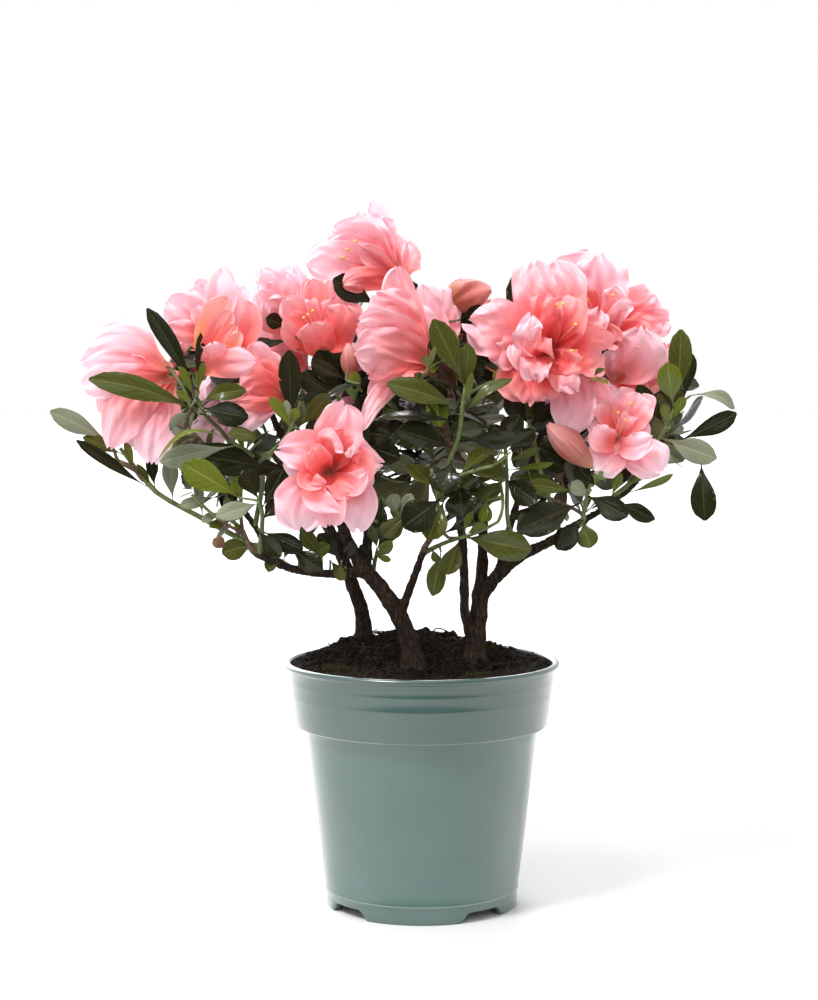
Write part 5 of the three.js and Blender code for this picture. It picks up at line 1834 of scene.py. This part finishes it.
class Nodes:
    """The node tree of a material or a world, with short calls for its nodes and links."""

    def __init__(self, owner, out="ShaderNodeOutputMaterial"):
        self.owner = owner
        owner.use_nodes = True
        self.tree = owner.node_tree
        self.tree.nodes.clear()
        self.out = self.add(out)

    def add(self, kind, **settings):
        node = self.tree.nodes.new(kind)
        for key, value in settings.items():
            setattr(node, key, value)
        return node

    def feed(self, socket, value):
        """Links a socket to another node's, or sets it to a number, a vector or a colour."""
        if isinstance(value, bpy.types.NodeSocket):
            self.tree.links.new(value, socket)
        elif value is not None:
            socket.default_value = (*value, 1) if socket.type == "RGBA" else value

    def fed(self, kind, inputs, **settings):
        """A new node whose sockets are fed by name or number."""
        node = self.add(kind, **settings)
        for key, value in inputs.items():
            self.feed(node.inputs[key], value)
        return node

    def math(self, operation, a, b=None, clamp=False):
        return self.fed("ShaderNodeMath", {0: a, 1: b}, operation=operation, use_clamp=clamp).outputs[0]

    def times(self, a, b):
        return self.math("MULTIPLY", a, b)

    def plus(self, a, b):
        return self.math("ADD", a, b)

    def minus(self, a, b, clamp=False):
        return self.math("SUBTRACT", a, b, clamp)

    def blend(self, share, a, b):
        return self.fed("ShaderNodeMix", {0: share, 6: a, 7: b}, data_type="RGBA").outputs[2]

    def ramp(self, factor, stops):
        node = self.fed("ShaderNodeValToRGB", {0: factor})
        ramp = node.color_ramp
        while len(ramp.elements) < len(stops):
            ramp.elements.new(0.5)
        for element, (position, colour) in zip(ramp.elements, stops):
            element.position = position
            element.color = (*colour, 1)
        return node.outputs[0]

    def noise(self, vector, scale, detail=3.0, rough=0.55):
        inputs = {"Scale": scale, "Detail": detail, "Roughness": rough, "Vector": vector}
        return self.fed("ShaderNodeTexNoise", inputs).outputs["Fac"]

    def place(self, scale=(1, 1, 1)):
        spot = self.add("ShaderNodeTexCoord").outputs["Object"]
        return self.fed("ShaderNodeMapping", {"Scale": scale, "Vector": spot}).outputs[0]

    def parts(self, vector):
        return self.fed("ShaderNodeSeparateXYZ", {0: vector}).outputs

    def height(self):
        """The height above the ground in mm."""
        return self.math("DIVIDE", self.parts(self.place())[2], MM)

    def bump(self, height, strength, distance):
        inputs = {"Strength": strength, "Distance": distance * MM, "Height": height}
        return self.fed("ShaderNodeBump", inputs).outputs[0]

    def surface(self, colour, roughness, normal=None, **sockets):
        inputs = {"Base Color": colour, "Roughness": roughness, "Normal": normal}
        inputs.update({key.replace("_", " "): value for key, value in sockets.items()})
        shader = self.fed("ShaderNodeBsdfPrincipled", inputs).outputs[0]
        self.feed(self.out.inputs[0], shader)
        return shader

    def mix_shaders(self, share, first, second):
        both = self.fed("ShaderNodeMixShader", {0: share, 1: first, 2: second})
        self.feed(self.out.inputs[0], both.outputs[0])

    def leaf_map(self):
        """Shares of the piece's own map: across and along."""
        return self.parts(self.add("ShaderNodeUVMap", uv_map=BAKE_MAP).outputs[0])[:2]

    def streaked(self, across, along, stretch):
        """The map drawn out along the piece, for patterns that run along it."""
        return self.fed("ShaderNodeCombineXYZ", {0: self.times(across, stretch), 1: along}).outputs[0]


def material_nodes(name):
    return Nodes(bpy.data.materials.new(name))


def tinted(colour, share):
    return tuple(channel * share for channel in colour)


def leaf_material(name, top, vein, under, under_vein):
    """The map's left half is the upper skin, and its right half the lower."""
    nodes = material_nodes(name)
    across, along = nodes.leaf_map()
    is_under = nodes.math("GREATER_THAN", across, 0.5)
    local = nodes.math("FRACT", nodes.times(across, 1.9999))
    off = nodes.math("ABSOLUTE", nodes.minus(local, 0.5))
    midrib = nodes.minus(1.0, nodes.times(off, 22.0), clamp=True)
    slant = nodes.minus(along, nodes.times(off, 0.55))
    wave = nodes.math("SINE", nodes.times(slant, 46.0))
    side_veins = nodes.math("POWER", nodes.math("MAXIMUM", wave, 0.0), 9.0)
    veins = nodes.math("MAXIMUM", midrib, nodes.times(side_veins, 0.3))
    mottle = nodes.noise(nodes.streaked(across, along, 3.0), 6.0)
    skin = nodes.blend(nodes.times(mottle, 0.6), top, tinted(top, 1.7))
    skin = nodes.blend(nodes.times(veins, 0.75), skin, vein)
    below = nodes.blend(nodes.times(mottle, 0.5), under, tinted(under, 0.7))
    below = nodes.blend(nodes.times(veins, 0.7), below, under_vein)
    relief_height = nodes.minus(nodes.times(mottle, 0.35), nodes.times(veins, 0.6))
    rough = nodes.plus(nodes.times(is_under, 0.3), 0.14)
    normal = nodes.bump(relief_height, 0.6, 0.4)
    nodes.surface(nodes.blend(is_under, skin, below), rough, normal, Specular_IOR_Level=0.3)
    return nodes.owner


def petal_material(name, throat, middle, rim, foot=(0.9, 0.46, 0.24)):
    """Deep in the throat, pale at the rim, with streaks along the petal. The deep throat is partly the
    petal's own coral and partly painted shade where the petals close in towards the foot.
    """
    nodes = material_nodes(name)
    across, along = nodes.leaf_map()
    above_foot = tuple(mix(a, b, 0.7) for a, b in zip(foot, throat))
    # Painted shade in part: the ramp turns deeper towards the foot, where the funnel closes in.
    stops = [(0.0, foot), (0.1, above_foot), (0.28, throat), (0.6, middle), (1.0, rim)]
    off = nodes.times(nodes.math("ABSOLUTE", nodes.minus(across, 0.5)), 2.0)
    edge = nodes.times(nodes.math("POWER", off, 4.0), nodes.times(along, 0.8))
    colour = nodes.blend(edge, nodes.ramp(along, stops), rim)
    streaks = nodes.noise(nodes.streaked(across, along, 9.0), 3.0, 4.0)
    deep = tuple(channel * share for channel, share in zip(middle, (1.0, 0.62, 0.66)))
    colour = nodes.blend(nodes.times(nodes.math("POWER", streaks, 2.0), 0.3), colour, deep)
    crinkle = nodes.noise(nodes.place(), 330, 3.0)
    normal = nodes.bump(nodes.plus(streaks, crinkle), 0.4, 0.5)
    shader = nodes.surface(colour, 0.4, normal, Sheen_Weight=0.2)
    through = nodes.fed("ShaderNodeBsdfTranslucent", {0: colour})
    nodes.mix_shaders(0.3, shader, through.outputs[0])
    return nodes.owner


def plain_material(name, colours, roughness, scale, bump=0.3):
    """Two colours in a soft pattern, with relief from the same pattern."""
    nodes = material_nodes(name)
    pattern = nodes.noise(nodes.place(), scale, 5.0, 0.62)
    shade = nodes.ramp(pattern, list(zip((0.32, 0.68), colours)))
    specular = 0.15 if roughness > 0.7 else 0.5
    nodes.surface(shade, roughness, nodes.bump(pattern, bump, 0.6), Specular_IOR_Level=specular)
    return nodes.owner


BARK = {
    "grain": ((0.3, (0.005, 0.0034, 0.0025)), (0.5, (0.022, 0.015, 0.011)), (0.72, (0.095, 0.067, 0.05))),
    "patch": (0.042, 0.029, 0.022),
    "relief": (((1.5, 1.5, 6), 0.42), ((0.9, 0.9, 1.6), 0.22)),
    "voxel": 0.62,
    "sides": 12,
}


def bark_material():
    nodes = material_nodes("bark")
    grain = nodes.noise(nodes.place((1, 1, 0.28)), 900, 6.0, 0.65)
    patch = nodes.noise(nodes.place((1, 1, 0.6)), 130, 3.0)
    colour = nodes.blend(nodes.times(patch, 0.5), nodes.ramp(grain, BARK["grain"]), BARK["patch"])
    nodes.surface(colour, 0.85, nodes.bump(grain, 0.8, 0.7), Specular_IOR_Level=0.08)
    return nodes.owner


PLASTIC = {
    "clouds": ((0.35, (0.046, 0.094, 0.081)), (0.65, (0.056, 0.11, 0.096))),
    # The collar colour is painted shade: a darker green for the dark reflection that the collar's steeper
    # wall shows.
    "collar": (0.022, 0.05, 0.043),
    "scuff": (0.33, 0.42, 0.38),
}


def pot_material():
    nodes = material_nodes("pot_plastic")
    colour = nodes.ramp(nodes.noise(nodes.place(), 22, 2.0), PLASTIC["clouds"])
    height = nodes.height()
    # Painted shade: above the collar's foot the colour is mixed halfway to the darker collar colour.
    collar = nodes.times(nodes.math("GREATER_THAN", height, POT["collar_height"]), 0.5)
    colour = nodes.blend(collar, colour, PLASTIC["collar"])
    scuffs = nodes.noise(nodes.place((1, 1, 0.2)), 160, 4.0)
    for level, thick, share in POT["scuffed"]:
        near = nodes.math("LESS_THAN", nodes.math("ABSOLUTE", nodes.minus(height, level)), thick)
        colour = nodes.blend(nodes.times(near, nodes.times(scuffs, share)), colour, PLASTIC["scuff"])
    fine = nodes.noise(nodes.place((1, 1, 0.35)), 520, 4.0)
    rough = nodes.plus(nodes.times(fine, 0.14), 0.24)
    coat = {"Coat_Weight": 1.0, "Coat_Roughness": 0.16, "Coat_IOR": 1.6}
    nodes.surface(colour, rough, nodes.bump(fine, 0.12, 0.12), **coat)
    return nodes.owner


# Pot


def arc(radius, height, round_by, turns):
    """Points of a rounding whose middle is at a radius and a height, at turns in degrees."""
    for turn in map(math.radians, turns):
        yield radius + round_by * math.cos(turn), height + round_by * math.sin(turn)


def pot_profile():
    """Radius and height, from the foot ring up the outside, down the inside and under the floor."""
    foot, seam, body = POT["foot_radius"], POT["seam_radius"], POT["body_radius"]
    collar, collar_top, wall = POT["collar_radius"], POT["collar_top_radius"], POT["wall"]
    inner, lip, floor = collar_top - wall, POT["lip_height"], POT["floor_bottom"]
    outside = [(foot - POT["foot_ring"], 0.0), (foot - 1.4, 0.0), (foot - 0.35, 0.35)]
    outside += [(foot, POT["foot_round"]), (seam - 0.3, 4.9), (seam - 0.15, 7.6)]
    outside += [(seam + 0.25, 8.2), (seam + 0.25, 8.8), (seam, 9.4)]
    for share in (0.25, 0.5, 0.75, 0.93):
        outside.append((mix(seam, body, share), mix(POT["seam_height"], POT["body_height"], share)))
    outside += [(body - 0.1, 83.2), (body + 0.35, 84.1), (body + 0.5, 84.7)]
    outside += arc(collar - 1.4, POT["collar_height"] + 1.4, 1.4, (-90, -54, -22.5, 0))
    for height, ridge in POT["ridges"]:
        share = (height - POT["collar_height"]) / (POT["collar_top_height"] - POT["collar_height"])
        outside.append((mix(collar, collar_top, share) + ridge, height))
    outside += [(collar_top, 111.9), (collar_top + 0.7, 112.7)]
    outside += arc(POT["lip_radius"] - 1.2, lip - 1.2, 1.2, (-70, -30, 10, 50, 90))
    inside = [(inner + 0.9, lip), (inner + 0.2, lip - 0.5), (inner, lip - 1.4)]
    inside += [(collar - wall, 88.2), (body - wall, 83.7)]
    inside += [(seam - wall, POT["floor_top"]), (0.4, POT["floor_top"])]
    below = [(0.4, 0.0), (CENTRE_FOOT - 0.5, 0.0), (CENTRE_FOOT, 0.5), (CENTRE_FOOT, floor)]
    return outside + inside + below + [(foot - POT["foot_ring"] - 0.6, floor)]


def notch_height(turn):
    """The height of the foot's lower edge at a turn round the pot."""
    away = np.abs((np.degrees(turn) - NOTCH["turn"] + 45) % (360 / NOTCH["count"]) - 45)
    return NOTCH["height"] * (1 - smooth(NOTCH["half_top"], NOTCH["half_bottom"], away))


def build_pot():
    turn = between_turns(POT["segments"])
    radius, height = np.array(pot_profile()).T[:, :, None]
    foot = (radius > POT["foot_radius"] - POT["foot_ring"] - 0.3) & (height < 5)
    notched = np.maximum(height, notch_height(turn)[None] + 0.12 * height)
    z = np.where(foot, notched, height + 0 * turn)
    piece = Piece("pot_shell", "pot", pot_material(), ["pot"])
    grid = np.stack([radius * np.cos(turn), radius * np.sin(turn), z], axis=-1)
    piece.grid(np.concatenate([grid, grid[:1]])[:, ::-1], closed=True)
    cut_drains(piece.write(mapped=False))


def cut_drains(shell):
    """Bores the drain holes with upright rods."""
    rods = Piece("drains", None, None)
    around = between_turns(DRAIN["sides"])
    ring = np.stack([np.cos(around), np.sin(around), 0 * around], axis=1)
    heights = np.repeat([[0, 0, 3.0], [0, 0, 9.0]], 2, axis=0)
    radii = np.array([0.01, DRAIN["radius"], DRAIN["radius"], 0.01])
    for k in range(DRAIN["count"]):
        turn = math.radians(DRAIN["turn"]) + TURN * k / DRAIN["count"]
        middle = DRAIN["ring"] * np.array([math.cos(turn), math.sin(turn), 0])
        rods.grid((middle + heights)[:, None] + radii[:, None, None] * ring[None], closed=True)
    drill = link("drains", rods.mesh())
    cut = shell.modifiers.new("drains", "BOOLEAN")
    cut.operation = "DIFFERENCE"
    cut.object = drill
    settle(shell)
    bpy.data.objects.remove(drill)


# Soil


def soil_height(x, y):
    across = (x - SOIL["mound_at"][0]) / SOIL["spread"][0]
    back = (y - SOIL["mound_at"][1]) / SOIL["spread"][1]
    hill = SOIL["mound"] * np.exp(-0.5 * (across**2 + back**2))
    slump = 1 - smooth(SOIL["slump_from"], SOIL["edge_radius"] + 1, np.hypot(x, y))
    rim = smooth(COMPOST["rim_from"], SOIL["edge_radius"], np.hypot(x, y))
    height = SOIL["edge_height"] + hill * slump + SOIL["rim_lift"] * rim
    for stem in STEMS.values():
        foot = stem["foot"]
        near = np.exp(-((x - foot[0]) ** 2 + (y - foot[1]) ** 2) / COMPOST["foot_spread"])
        height = mix(height, foot[2] - COMPOST["foot_sunk"], near)
    return height


def on_soil(x, y):
    return np.array([x, y, float(soil_height(x, y))])


def build_soil():
    edge = SOIL["edge_radius"]
    radius = edge * np.linspace(1, 0.004, SOIL["rings"]) ** 0.8
    turn = between_turns(SOIL["sides"])
    x = radius[:, None] * np.cos(turn)
    y = radius[:, None] * np.sin(turn)
    flat = np.stack([x, y, soil_height(x, y)], axis=-1).reshape(-1, 3)
    lumps = 0
    for seed, (size, depth) in enumerate(COMPOST["lumps"], 1):
        lumps = lumps + relief(flat, (size, size, size), depth, seed)
    calm = 1 - smooth(edge - 3, edge, np.hypot(flat[:, 0], flat[:, 1]))
    flat[:, 2] += lumps * (COMPOST["flat_share"] + (1 - COMPOST["flat_share"]) * calm)
    grid = flat.reshape(len(radius), len(turn), 3)
    wall = [grid[0] * (out / edge, out / edge, 0) + (0, 0, height) for out, height in SOIL["inside"]]
    material = plain_material("compost", COMPOST["colours"], 0.95, 420, 0.9)
    piece = Piece("compost", "soil", material, ["soil"])
    piece.grid(np.concatenate([np.stack(wall), grid]), closed=True)
    piece.write()


def scattered(count, random, edge=56.0):
    """Seeded spots on the soil."""
    for _ in range(count):
        radius = edge * math.sqrt(random())
        turn = random() * TURN
        yield on_soil(radius * math.cos(turn), radius * math.sin(turn))


def build_crumbs(random):
    material = plain_material("crumbs", COMPOST["crumb_colours"], 0.95, 300, 0.7)
    crumbs = Piece("compost_crumbs", "soil", material)
    for spot in scattered(COMPOST["crumbs"], random):
        size = random.between(0.5, 2.1) * random.between(0.5, 1)
        turn = between_turns(6)[None] + random() * 6
        rise = np.linspace(-1, 1, 5)[:, None]
        out = np.sqrt(1.02 - rise**2) * size * (1 + 0.35 * np.sin(3 * turn + random() * 6 + rise * 2))
        x, y = out * np.cos(turn), out * np.sin(turn) * random.between(0.5, 1)
        points = np.stack([x, y, rise * size * 0.7 + 0 * turn], axis=-1)
        crumbs.grid(spot + points + (0, 0, 0.3), closed=True)
    crumbs.write()


def build_fibres(random):
    fibres = Piece("peat_fibres", "soil", plain_material("peat_fibre", COMPOST["fibre_colours"], 0.9, 200))
    for spot in scattered(COMPOST["fibres"], random):
        heading = random() * TURN
        length = random.between(4, 15)
        along = np.linspace(-0.5, 0.5, 9)[:, None]
        lift = random.between(-0.6, 1.6)
        slope = random.between(-0.25, 0.25)
        line = along * length * np.array([[math.cos(heading), math.sin(heading), slope]])
        line[:, 2] += lift * np.sin((along[:, 0] + 0.5) * math.pi) * 2 + 0.8
        line[:, 0] += random.between(-2, 2) * (along[:, 0] * 2) ** 2
        fibres.tube(spot + line, np.full(9, random.between(0.12, 0.4)), 5)
    fibres.write()


def build_moss(random):
    moss = Piece("moss", "soil", plain_material("moss", COMPOST["moss_colours"], 0.9, 260))
    for middle, count, reach in COMPOST["moss"]:
        for _ in range(count):
            turn, out = random() * TURN, reach * math.sqrt(random())
            x, y = middle[0] + out * math.cos(turn), middle[1] + 0.7 * out * math.sin(turn)
            foot = on_soil(x, y) + (0, 0, 0.2)
            tip = foot + (random.between(-1.2, 1.2), random.between(-1.2, 1.2), random.between(1, 3.2))
            moss.tube(np.linspace(foot, tip, 4), np.array([0.35, 0.5, 0.4, 0.1]), 4)
    moss.write()


def build_soil_bits():
    random = Seeded(61)
    build_crumbs(random)
    build_fibres(random)
    build_moss(random)


# Wood


def root_tubes(stem, random):
    """Roots that run out from a stem's foot into the soil."""
    foot = np.array(stem["foot"], float)
    for k in range(STEM["roots"]):
        turn = k * TURN / STEM["roots"] + random()
        out = np.array([math.cos(turn), math.sin(turn), 0])
        reach = random.between(*STEM["root_reach"])
        path = [foot + out * 1.5 + (0, 0, 5), foot + out * 5 + (0, 0, 0.6), foot + out * reach - (0, 0, 3)]
        radii = np.linspace(stem["radii"][0] * STEM["root_share"], 0.9, 10)
        yield limb_curve(path).at(np.linspace(0, 1, 10)), radii


def limb_tubes():
    """Each woody limb as a line with its radii: a bough swells where it leaves, and has faint knots."""
    tubes = []
    for name, (curve, radius) in LIMBS.items():
        kind, short = name.split("_", 1)
        if kind == "bough" and BOUGHS[short].get("green"):
            continue
        t = np.linspace(0, 1, max(6, int(curve.length / 2)))
        swell = 1 + 0.5 * np.exp(-t * curve.length / 4) if kind == "bough" else 1
        knots = 1 + 0.1 * np.sin(t * curve.length / 3.1 + len(tubes)) ** 6
        tubes.append((curve.at(t), radius(t) * swell * knots))
    return tubes


def read_vectors(mesh, key):
    values = np.empty(len(mesh.vertices) * 3, np.float32)
    mesh.vertices.foreach_get(key, values)
    return values.reshape(-1, 3)


def build_wood():
    """Stems and boughs as one skin of bark."""
    random = Seeded(71)
    wood = Piece("stems_and_boughs", "bark", bark_material(), list(LIMBS))
    roots = [root for stem in STEMS.values() for root in root_tubes(stem, random)]
    for points, radii in limb_tubes() + roots:
        wood.tube(points, radii, BARK["sides"])
    skin = wood.write(mapped=False)
    union = skin.modifiers.new("union", "REMESH")
    union.mode = "VOXEL"
    union.voxel_size = BARK["voxel"] * MM
    calm = skin.modifiers.new("calm", "SMOOTH")
    calm.factor = 0.5
    calm.iterations = 4
    mesh = settle(skin)
    points = read_vectors(mesh, "co") / MM
    normals = read_vectors(mesh, "normal")
    bark = 0
    for seed, (scale, depth) in enumerate(BARK["relief"], 4):
        bark = bark + relief(points, scale, depth, seed)
    points += normals * bark[:, None]
    mesh.vertices.foreach_set("co", (points * MM).astype(np.float32).ravel())
    mesh.polygons.foreach_set("use_smooth", np.ones(len(mesh.polygons), bool))
    mesh.update()
    if not mesh.materials:
        mesh.materials.append(wood.material)


def draw_twig(pieces, curve, start, end, run):
    """Twigs are woody near the bough and green at the shoots."""
    rings = max(4, int(curve.length / TWIG["ring_step"]))
    t = np.linspace(0, 1, rings)
    radii = mix(start, end, t) * (1 + 0.12 * np.sin(t * curve.length / 1.9) ** 8)
    points = curve.at(t)
    woody = TWIG["woody_run"]
    split = 1.0 if run + curve.length < woody else max(0.0, (woody - run) / curve.length)
    cut = int(round(split * (rings - 1)))
    if cut > 1:
        pieces["twigs_woody"].tube(points[: cut + 1], radii[: cut + 1], TWIG["sides"])
    if cut < rings - 1:
        cut = max(0, cut - 1) if cut > 1 else 0
        pieces["twigs_green"].tube(points[cut:], radii[cut:], TWIG["sides"])


# Crown


# Upper skin, its veins, lower skin, its veins. The dark tint is partly the leaves' own deep green and partly
# painted shade for leaves inside the crown. The grey tint is a painted sheen: the pale cast of glossy leaves
# catching reflected light, put into their colour.
LEAF_COLOURS = {
    "dark": ((0.0105, 0.0118, 0.0034), (0.048, 0.049, 0.016), (0.06, 0.06, 0.025), (0.13, 0.128, 0.055)),
    "mid": ((0.046, 0.052, 0.0085), (0.15, 0.16, 0.04), (0.115, 0.122, 0.046), (0.22, 0.225, 0.1)),
    "bright": ((0.088, 0.108, 0.011), (0.25, 0.275, 0.06), (0.18, 0.2, 0.06), (0.3, 0.31, 0.12)),
    "grey": ((0.155, 0.17, 0.11), (0.36, 0.37, 0.27), (0.21, 0.23, 0.16), (0.34, 0.36, 0.26)),
    "dry": ((0.1, 0.055, 0.025), (0.16, 0.1, 0.05), (0.13, 0.08, 0.045), (0.2, 0.13, 0.07)),
}
SPROUT = ((0.12, 0.2, 0.03), (0.2, 0.28, 0.07), (0.14, 0.21, 0.05), (0.2, 0.26, 0.08))

# Throat, middle, rim, and the foot where it isn't the usual yellow
# Each throat colour is partly the petals' own deeper coral and partly painted shade deep in the funnel.
PETAL_COLOURS = {
    "coral": ((0.88, 0.1, 0.085), (0.955, 0.22, 0.21), (0.975, 0.44, 0.46)),
    "pink": ((0.93, 0.19, 0.17), (0.975, 0.38, 0.41), (0.985, 0.64, 0.71)),
    "pale": ((0.95, 0.3, 0.32), (0.98, 0.52, 0.59), (0.99, 0.78, 0.86), (0.8, 0.66, 0.3)),
    "deep": ((0.42, 0.13, 0.06), (0.62, 0.17, 0.14), (0.86, 0.42, 0.4)),
    "apricot": ((0.95, 0.5, 0.14), (0.965, 0.4, 0.29), (0.98, 0.5, 0.49)),
}

# Slot, material, its two colours, roughness and the pattern's scale
PLAIN = {
    "twigs_woody": ("bark", "twig_bark", ((0.05, 0.033, 0.022), (0.17, 0.115, 0.075)), 0.8, 500),
    "twigs_green": ("foliage", "twig_green", ((0.06, 0.085, 0.022), (0.15, 0.19, 0.06)), 0.6, 260),
    "filaments": ("blossom", "filament", ((0.9, 0.42, 0.38), (0.95, 0.55, 0.5)), 0.5, 100),
    "anthers": ("blossom", "anther", ((0.75, 0.42, 0.06), (0.9, 0.6, 0.12)), 0.7, 400),
}
FLOWERING = [f"foliage_{name}" for name in ("upper_left", "top", "upper_right")]


def crown_pieces():
    """The crown's pieces in the order in which they are written."""
    leafy = [name for name in map("foliage_{}".format, MASSES) if name not in FLOWERING]
    pieces = []
    for tint, colours in LEAF_COLOURS.items():
        material = leaf_material("leaf_" + tint, *colours)
        pieces.append(Piece("leaves_" + tint, "foliage", material, leafy if tint == "dark" else ()))
    pieces.append(Piece("sprouts", "foliage", leaf_material("sprout", *SPROUT)))
    plain = [Piece(name, slot, plain_material(*look)) for name, (slot, *look) in PLAIN.items()]
    for tint, colours in PETAL_COLOURS.items():
        material = petal_material("petal_" + tint, *colours)
        plain.insert(-2, Piece("petals_" + tint, "blossom", material, FLOWERING if tint == "pink" else ()))
    return {piece.name: piece for piece in pieces + plain}


def named_leaf(foot, tip, width, roll, tint, arch=0.0):
    """A leaf between two named places. Its upper side looks to the camera unless it is rolled."""
    reach = tip - foot
    length = np.linalg.norm(reach)
    aim = reach / length
    side = unit(np.cross(-unit(foot - EYE), aim))
    face = np.cross(aim, side)
    side = unit(side * math.cos(roll) + face * math.sin(roll))
    leaf = {"base": foot, "aim": aim, "side": side, "length": length}
    return {**leaf, "width": width, "tint": tint, "bow": arch}


def draw_leaf(pieces, leaf, random):
    draw_skins(pieces["leaves_" + leaf["tint"]], leaf, random)


def nearest_wood(wood, point, heading, lead):
    """The wood closest to a point, with a liking for wood that lies behind it on its heading."""
    away = point - wood
    return wood[np.argmin(np.linalg.norm(away, axis=1) - lead * away @ unit(heading))]


SPRAY = {"stem": (1.25, 0.85), "stalk": (0.7, 0.5), "apart": 0.8, "long": 8, "leads": (0.8, 0.3)}


def build_sprays(pieces, wood):
    """The named shoots: each stem starts on the nearest wood, and each leaf on the nearest stem."""
    random = Seeded(81)
    wood = np.concatenate([LIMB_POINTS, *wood])
    stem_lead, leaf_lead = SPRAY["leads"]
    for stem, leaves in SPRAYS:
        stem = [seen(*spot) for spot in stem]
        start = nearest_wood(wood, stem[0], stem[1] - stem[0], stem_lead)
        points = limb_curve([start, *stem]).at(np.linspace(0, 1, 24))
        pieces["twigs_green"].tube(points, SPRAY["stem"], 8)
        wood = np.concatenate([wood, points])
        for foot, tip, *shape in leaves:
            foot, tip = seen(*foot), seen(*tip)
            joint = nearest_wood(wood, foot, tip - foot, leaf_lead)
            gap = np.linalg.norm(foot - joint)
            if gap > SPRAY["apart"]:
                stalk = twig_curve(joint, unit(tip - joint), foot).at(np.linspace(0, 1, 8))
                pieces["twigs_green"].tube(stalk, SPRAY["stalk"], 6)
                wood = np.concatenate([wood, stalk]) if gap > SPRAY["long"] else wood
            draw_leaf(pieces, named_leaf(foot, tip, *shape), random)


def build_mass(pieces, name):
    """Twigs, flowers and leaves of one mass, and points along its twigs."""
    random = Seeded(MASSES[name]["seed"])
    shoots, finer = mass_shoots(MASSES[name], random)
    wood = []
    for curve, start, end, run in grow_twigs(name, shoots, finer):
        draw_twig(pieces, curve, start, end, run)
        wood.append(curve.at(np.linspace(0, 1, 20)))
    grown = [shoot for shoot in shoots + finer if "curve" in shoot]
    for shoot in grown:
        if shoot.get("form"):
            draw_named_flower(pieces, shoot, random)
        elif shoot["kind"] == "bloom":
            draw_bloom(pieces, shoot, random)
    for leaf in grow_leaves(name, grown, random):
        draw_leaf(pieces, leaf, random)
    return wood


def build_crown():
    pieces = crown_pieces()
    wood = []
    for name in MASSES:
        wood += build_mass(pieces, name)
    build_sprays(pieces, wood)
    for name, bough in BOUGHS.items():
        if bough.get("green"):
            curve, radius = LIMBS["bough_" + name]
            t = np.linspace(0, 1, 40)
            pieces["twigs_green"].tube(curve.at(t), radius(t), 9)
    for piece in pieces.values():
        piece.write()


# Stage


def build_stage():
    mesh = bpy.data.meshes.new("floor")
    near, far = -0.32, 8.0
    mesh.from_pydata([(-far, near, 0), (far, near, 0), (far, far, 0), (-far, far, 0)], [], [(0, 1, 2, 3)])
    floor = link("floor", mesh)
    nodes = material_nodes("floor_paper")
    nodes.surface((0.66, 0.66, 0.665), 0.6)
    mesh.materials.append(nodes.owner)


def sun(name, towards, power, angle, reflects=True):
    """A broad distant light, seen from the plant in the direction "towards"."""
    data = bpy.data.lights.new(name, "SUN")
    data.energy = power
    data.angle = math.radians(angle)
    light = link(name, data)
    light.rotation_euler = Vector(towards).to_track_quat("Z", "Y").to_euler()
    light.visible_glossy = reflects


def build_world():
    """White where the camera sees it, and for the plant brighter from behind than from the front."""
    nodes = Nodes(bpy.data.worlds.new("studio"), "ShaderNodeOutputWorld")
    bpy.context.scene.world = nodes.owner
    _, depth, _ = nodes.parts(nodes.add("ShaderNodeTexCoord").outputs["Generated"])
    power = nodes.fed("ShaderNodeMapRange", {0: depth, 1: -0.85, 2: -0.05, 3: 0.1, 4: 0.85}).outputs[0]
    lit = nodes.fed("ShaderNodeBackground", {0: (0.97, 0.98, 1), 1: power}).outputs[0]
    plain = nodes.fed("ShaderNodeBackground", {0: (1, 1, 1), 1: 1.0}).outputs[0]
    seen_by_camera = nodes.add("ShaderNodeLightPath").outputs["Is Camera Ray"]
    nodes.mix_shaders(seen_by_camera, lit, plain)


def build_lights():
    build_world()
    sun("key", (-0.5, -0.5, 1.0), 2.6, 16)
    sun("soft_key", (-0.4, -0.5, 0.9), 1.3, 80)
    sun("front", (0.1, -1.0, 0.35), 1.45, 50, reflects=False)
    sun("back", (-0.3, 0.9, 0.5), 2.2, 50)


def build_camera():
    data = bpy.data.cameras.new("camera")
    data.sensor_fit = "VERTICAL"
    data.sensor_height = CAMERA["sensor"]
    data.lens = CAMERA["focal_px"] * CAMERA["sensor"] / CAMERA["long_px"]
    camera = link("camera", data)
    camera.location = Vector(CAMERA["at"]) * MM
    camera.rotation_euler = (math.pi / 2 - CAMERA["pitch"], 0, 0)
    bpy.context.scene.camera = camera


FLOWER_WINDOWS = flower_windows()
bpy.context.scene.view_settings.view_transform = "Standard"
build_camera()
build_stage()
build_lights()
build_pot()
build_soil()
build_soil_bits()
build_wood()
build_crown()

bpy.context.view_layer.update()
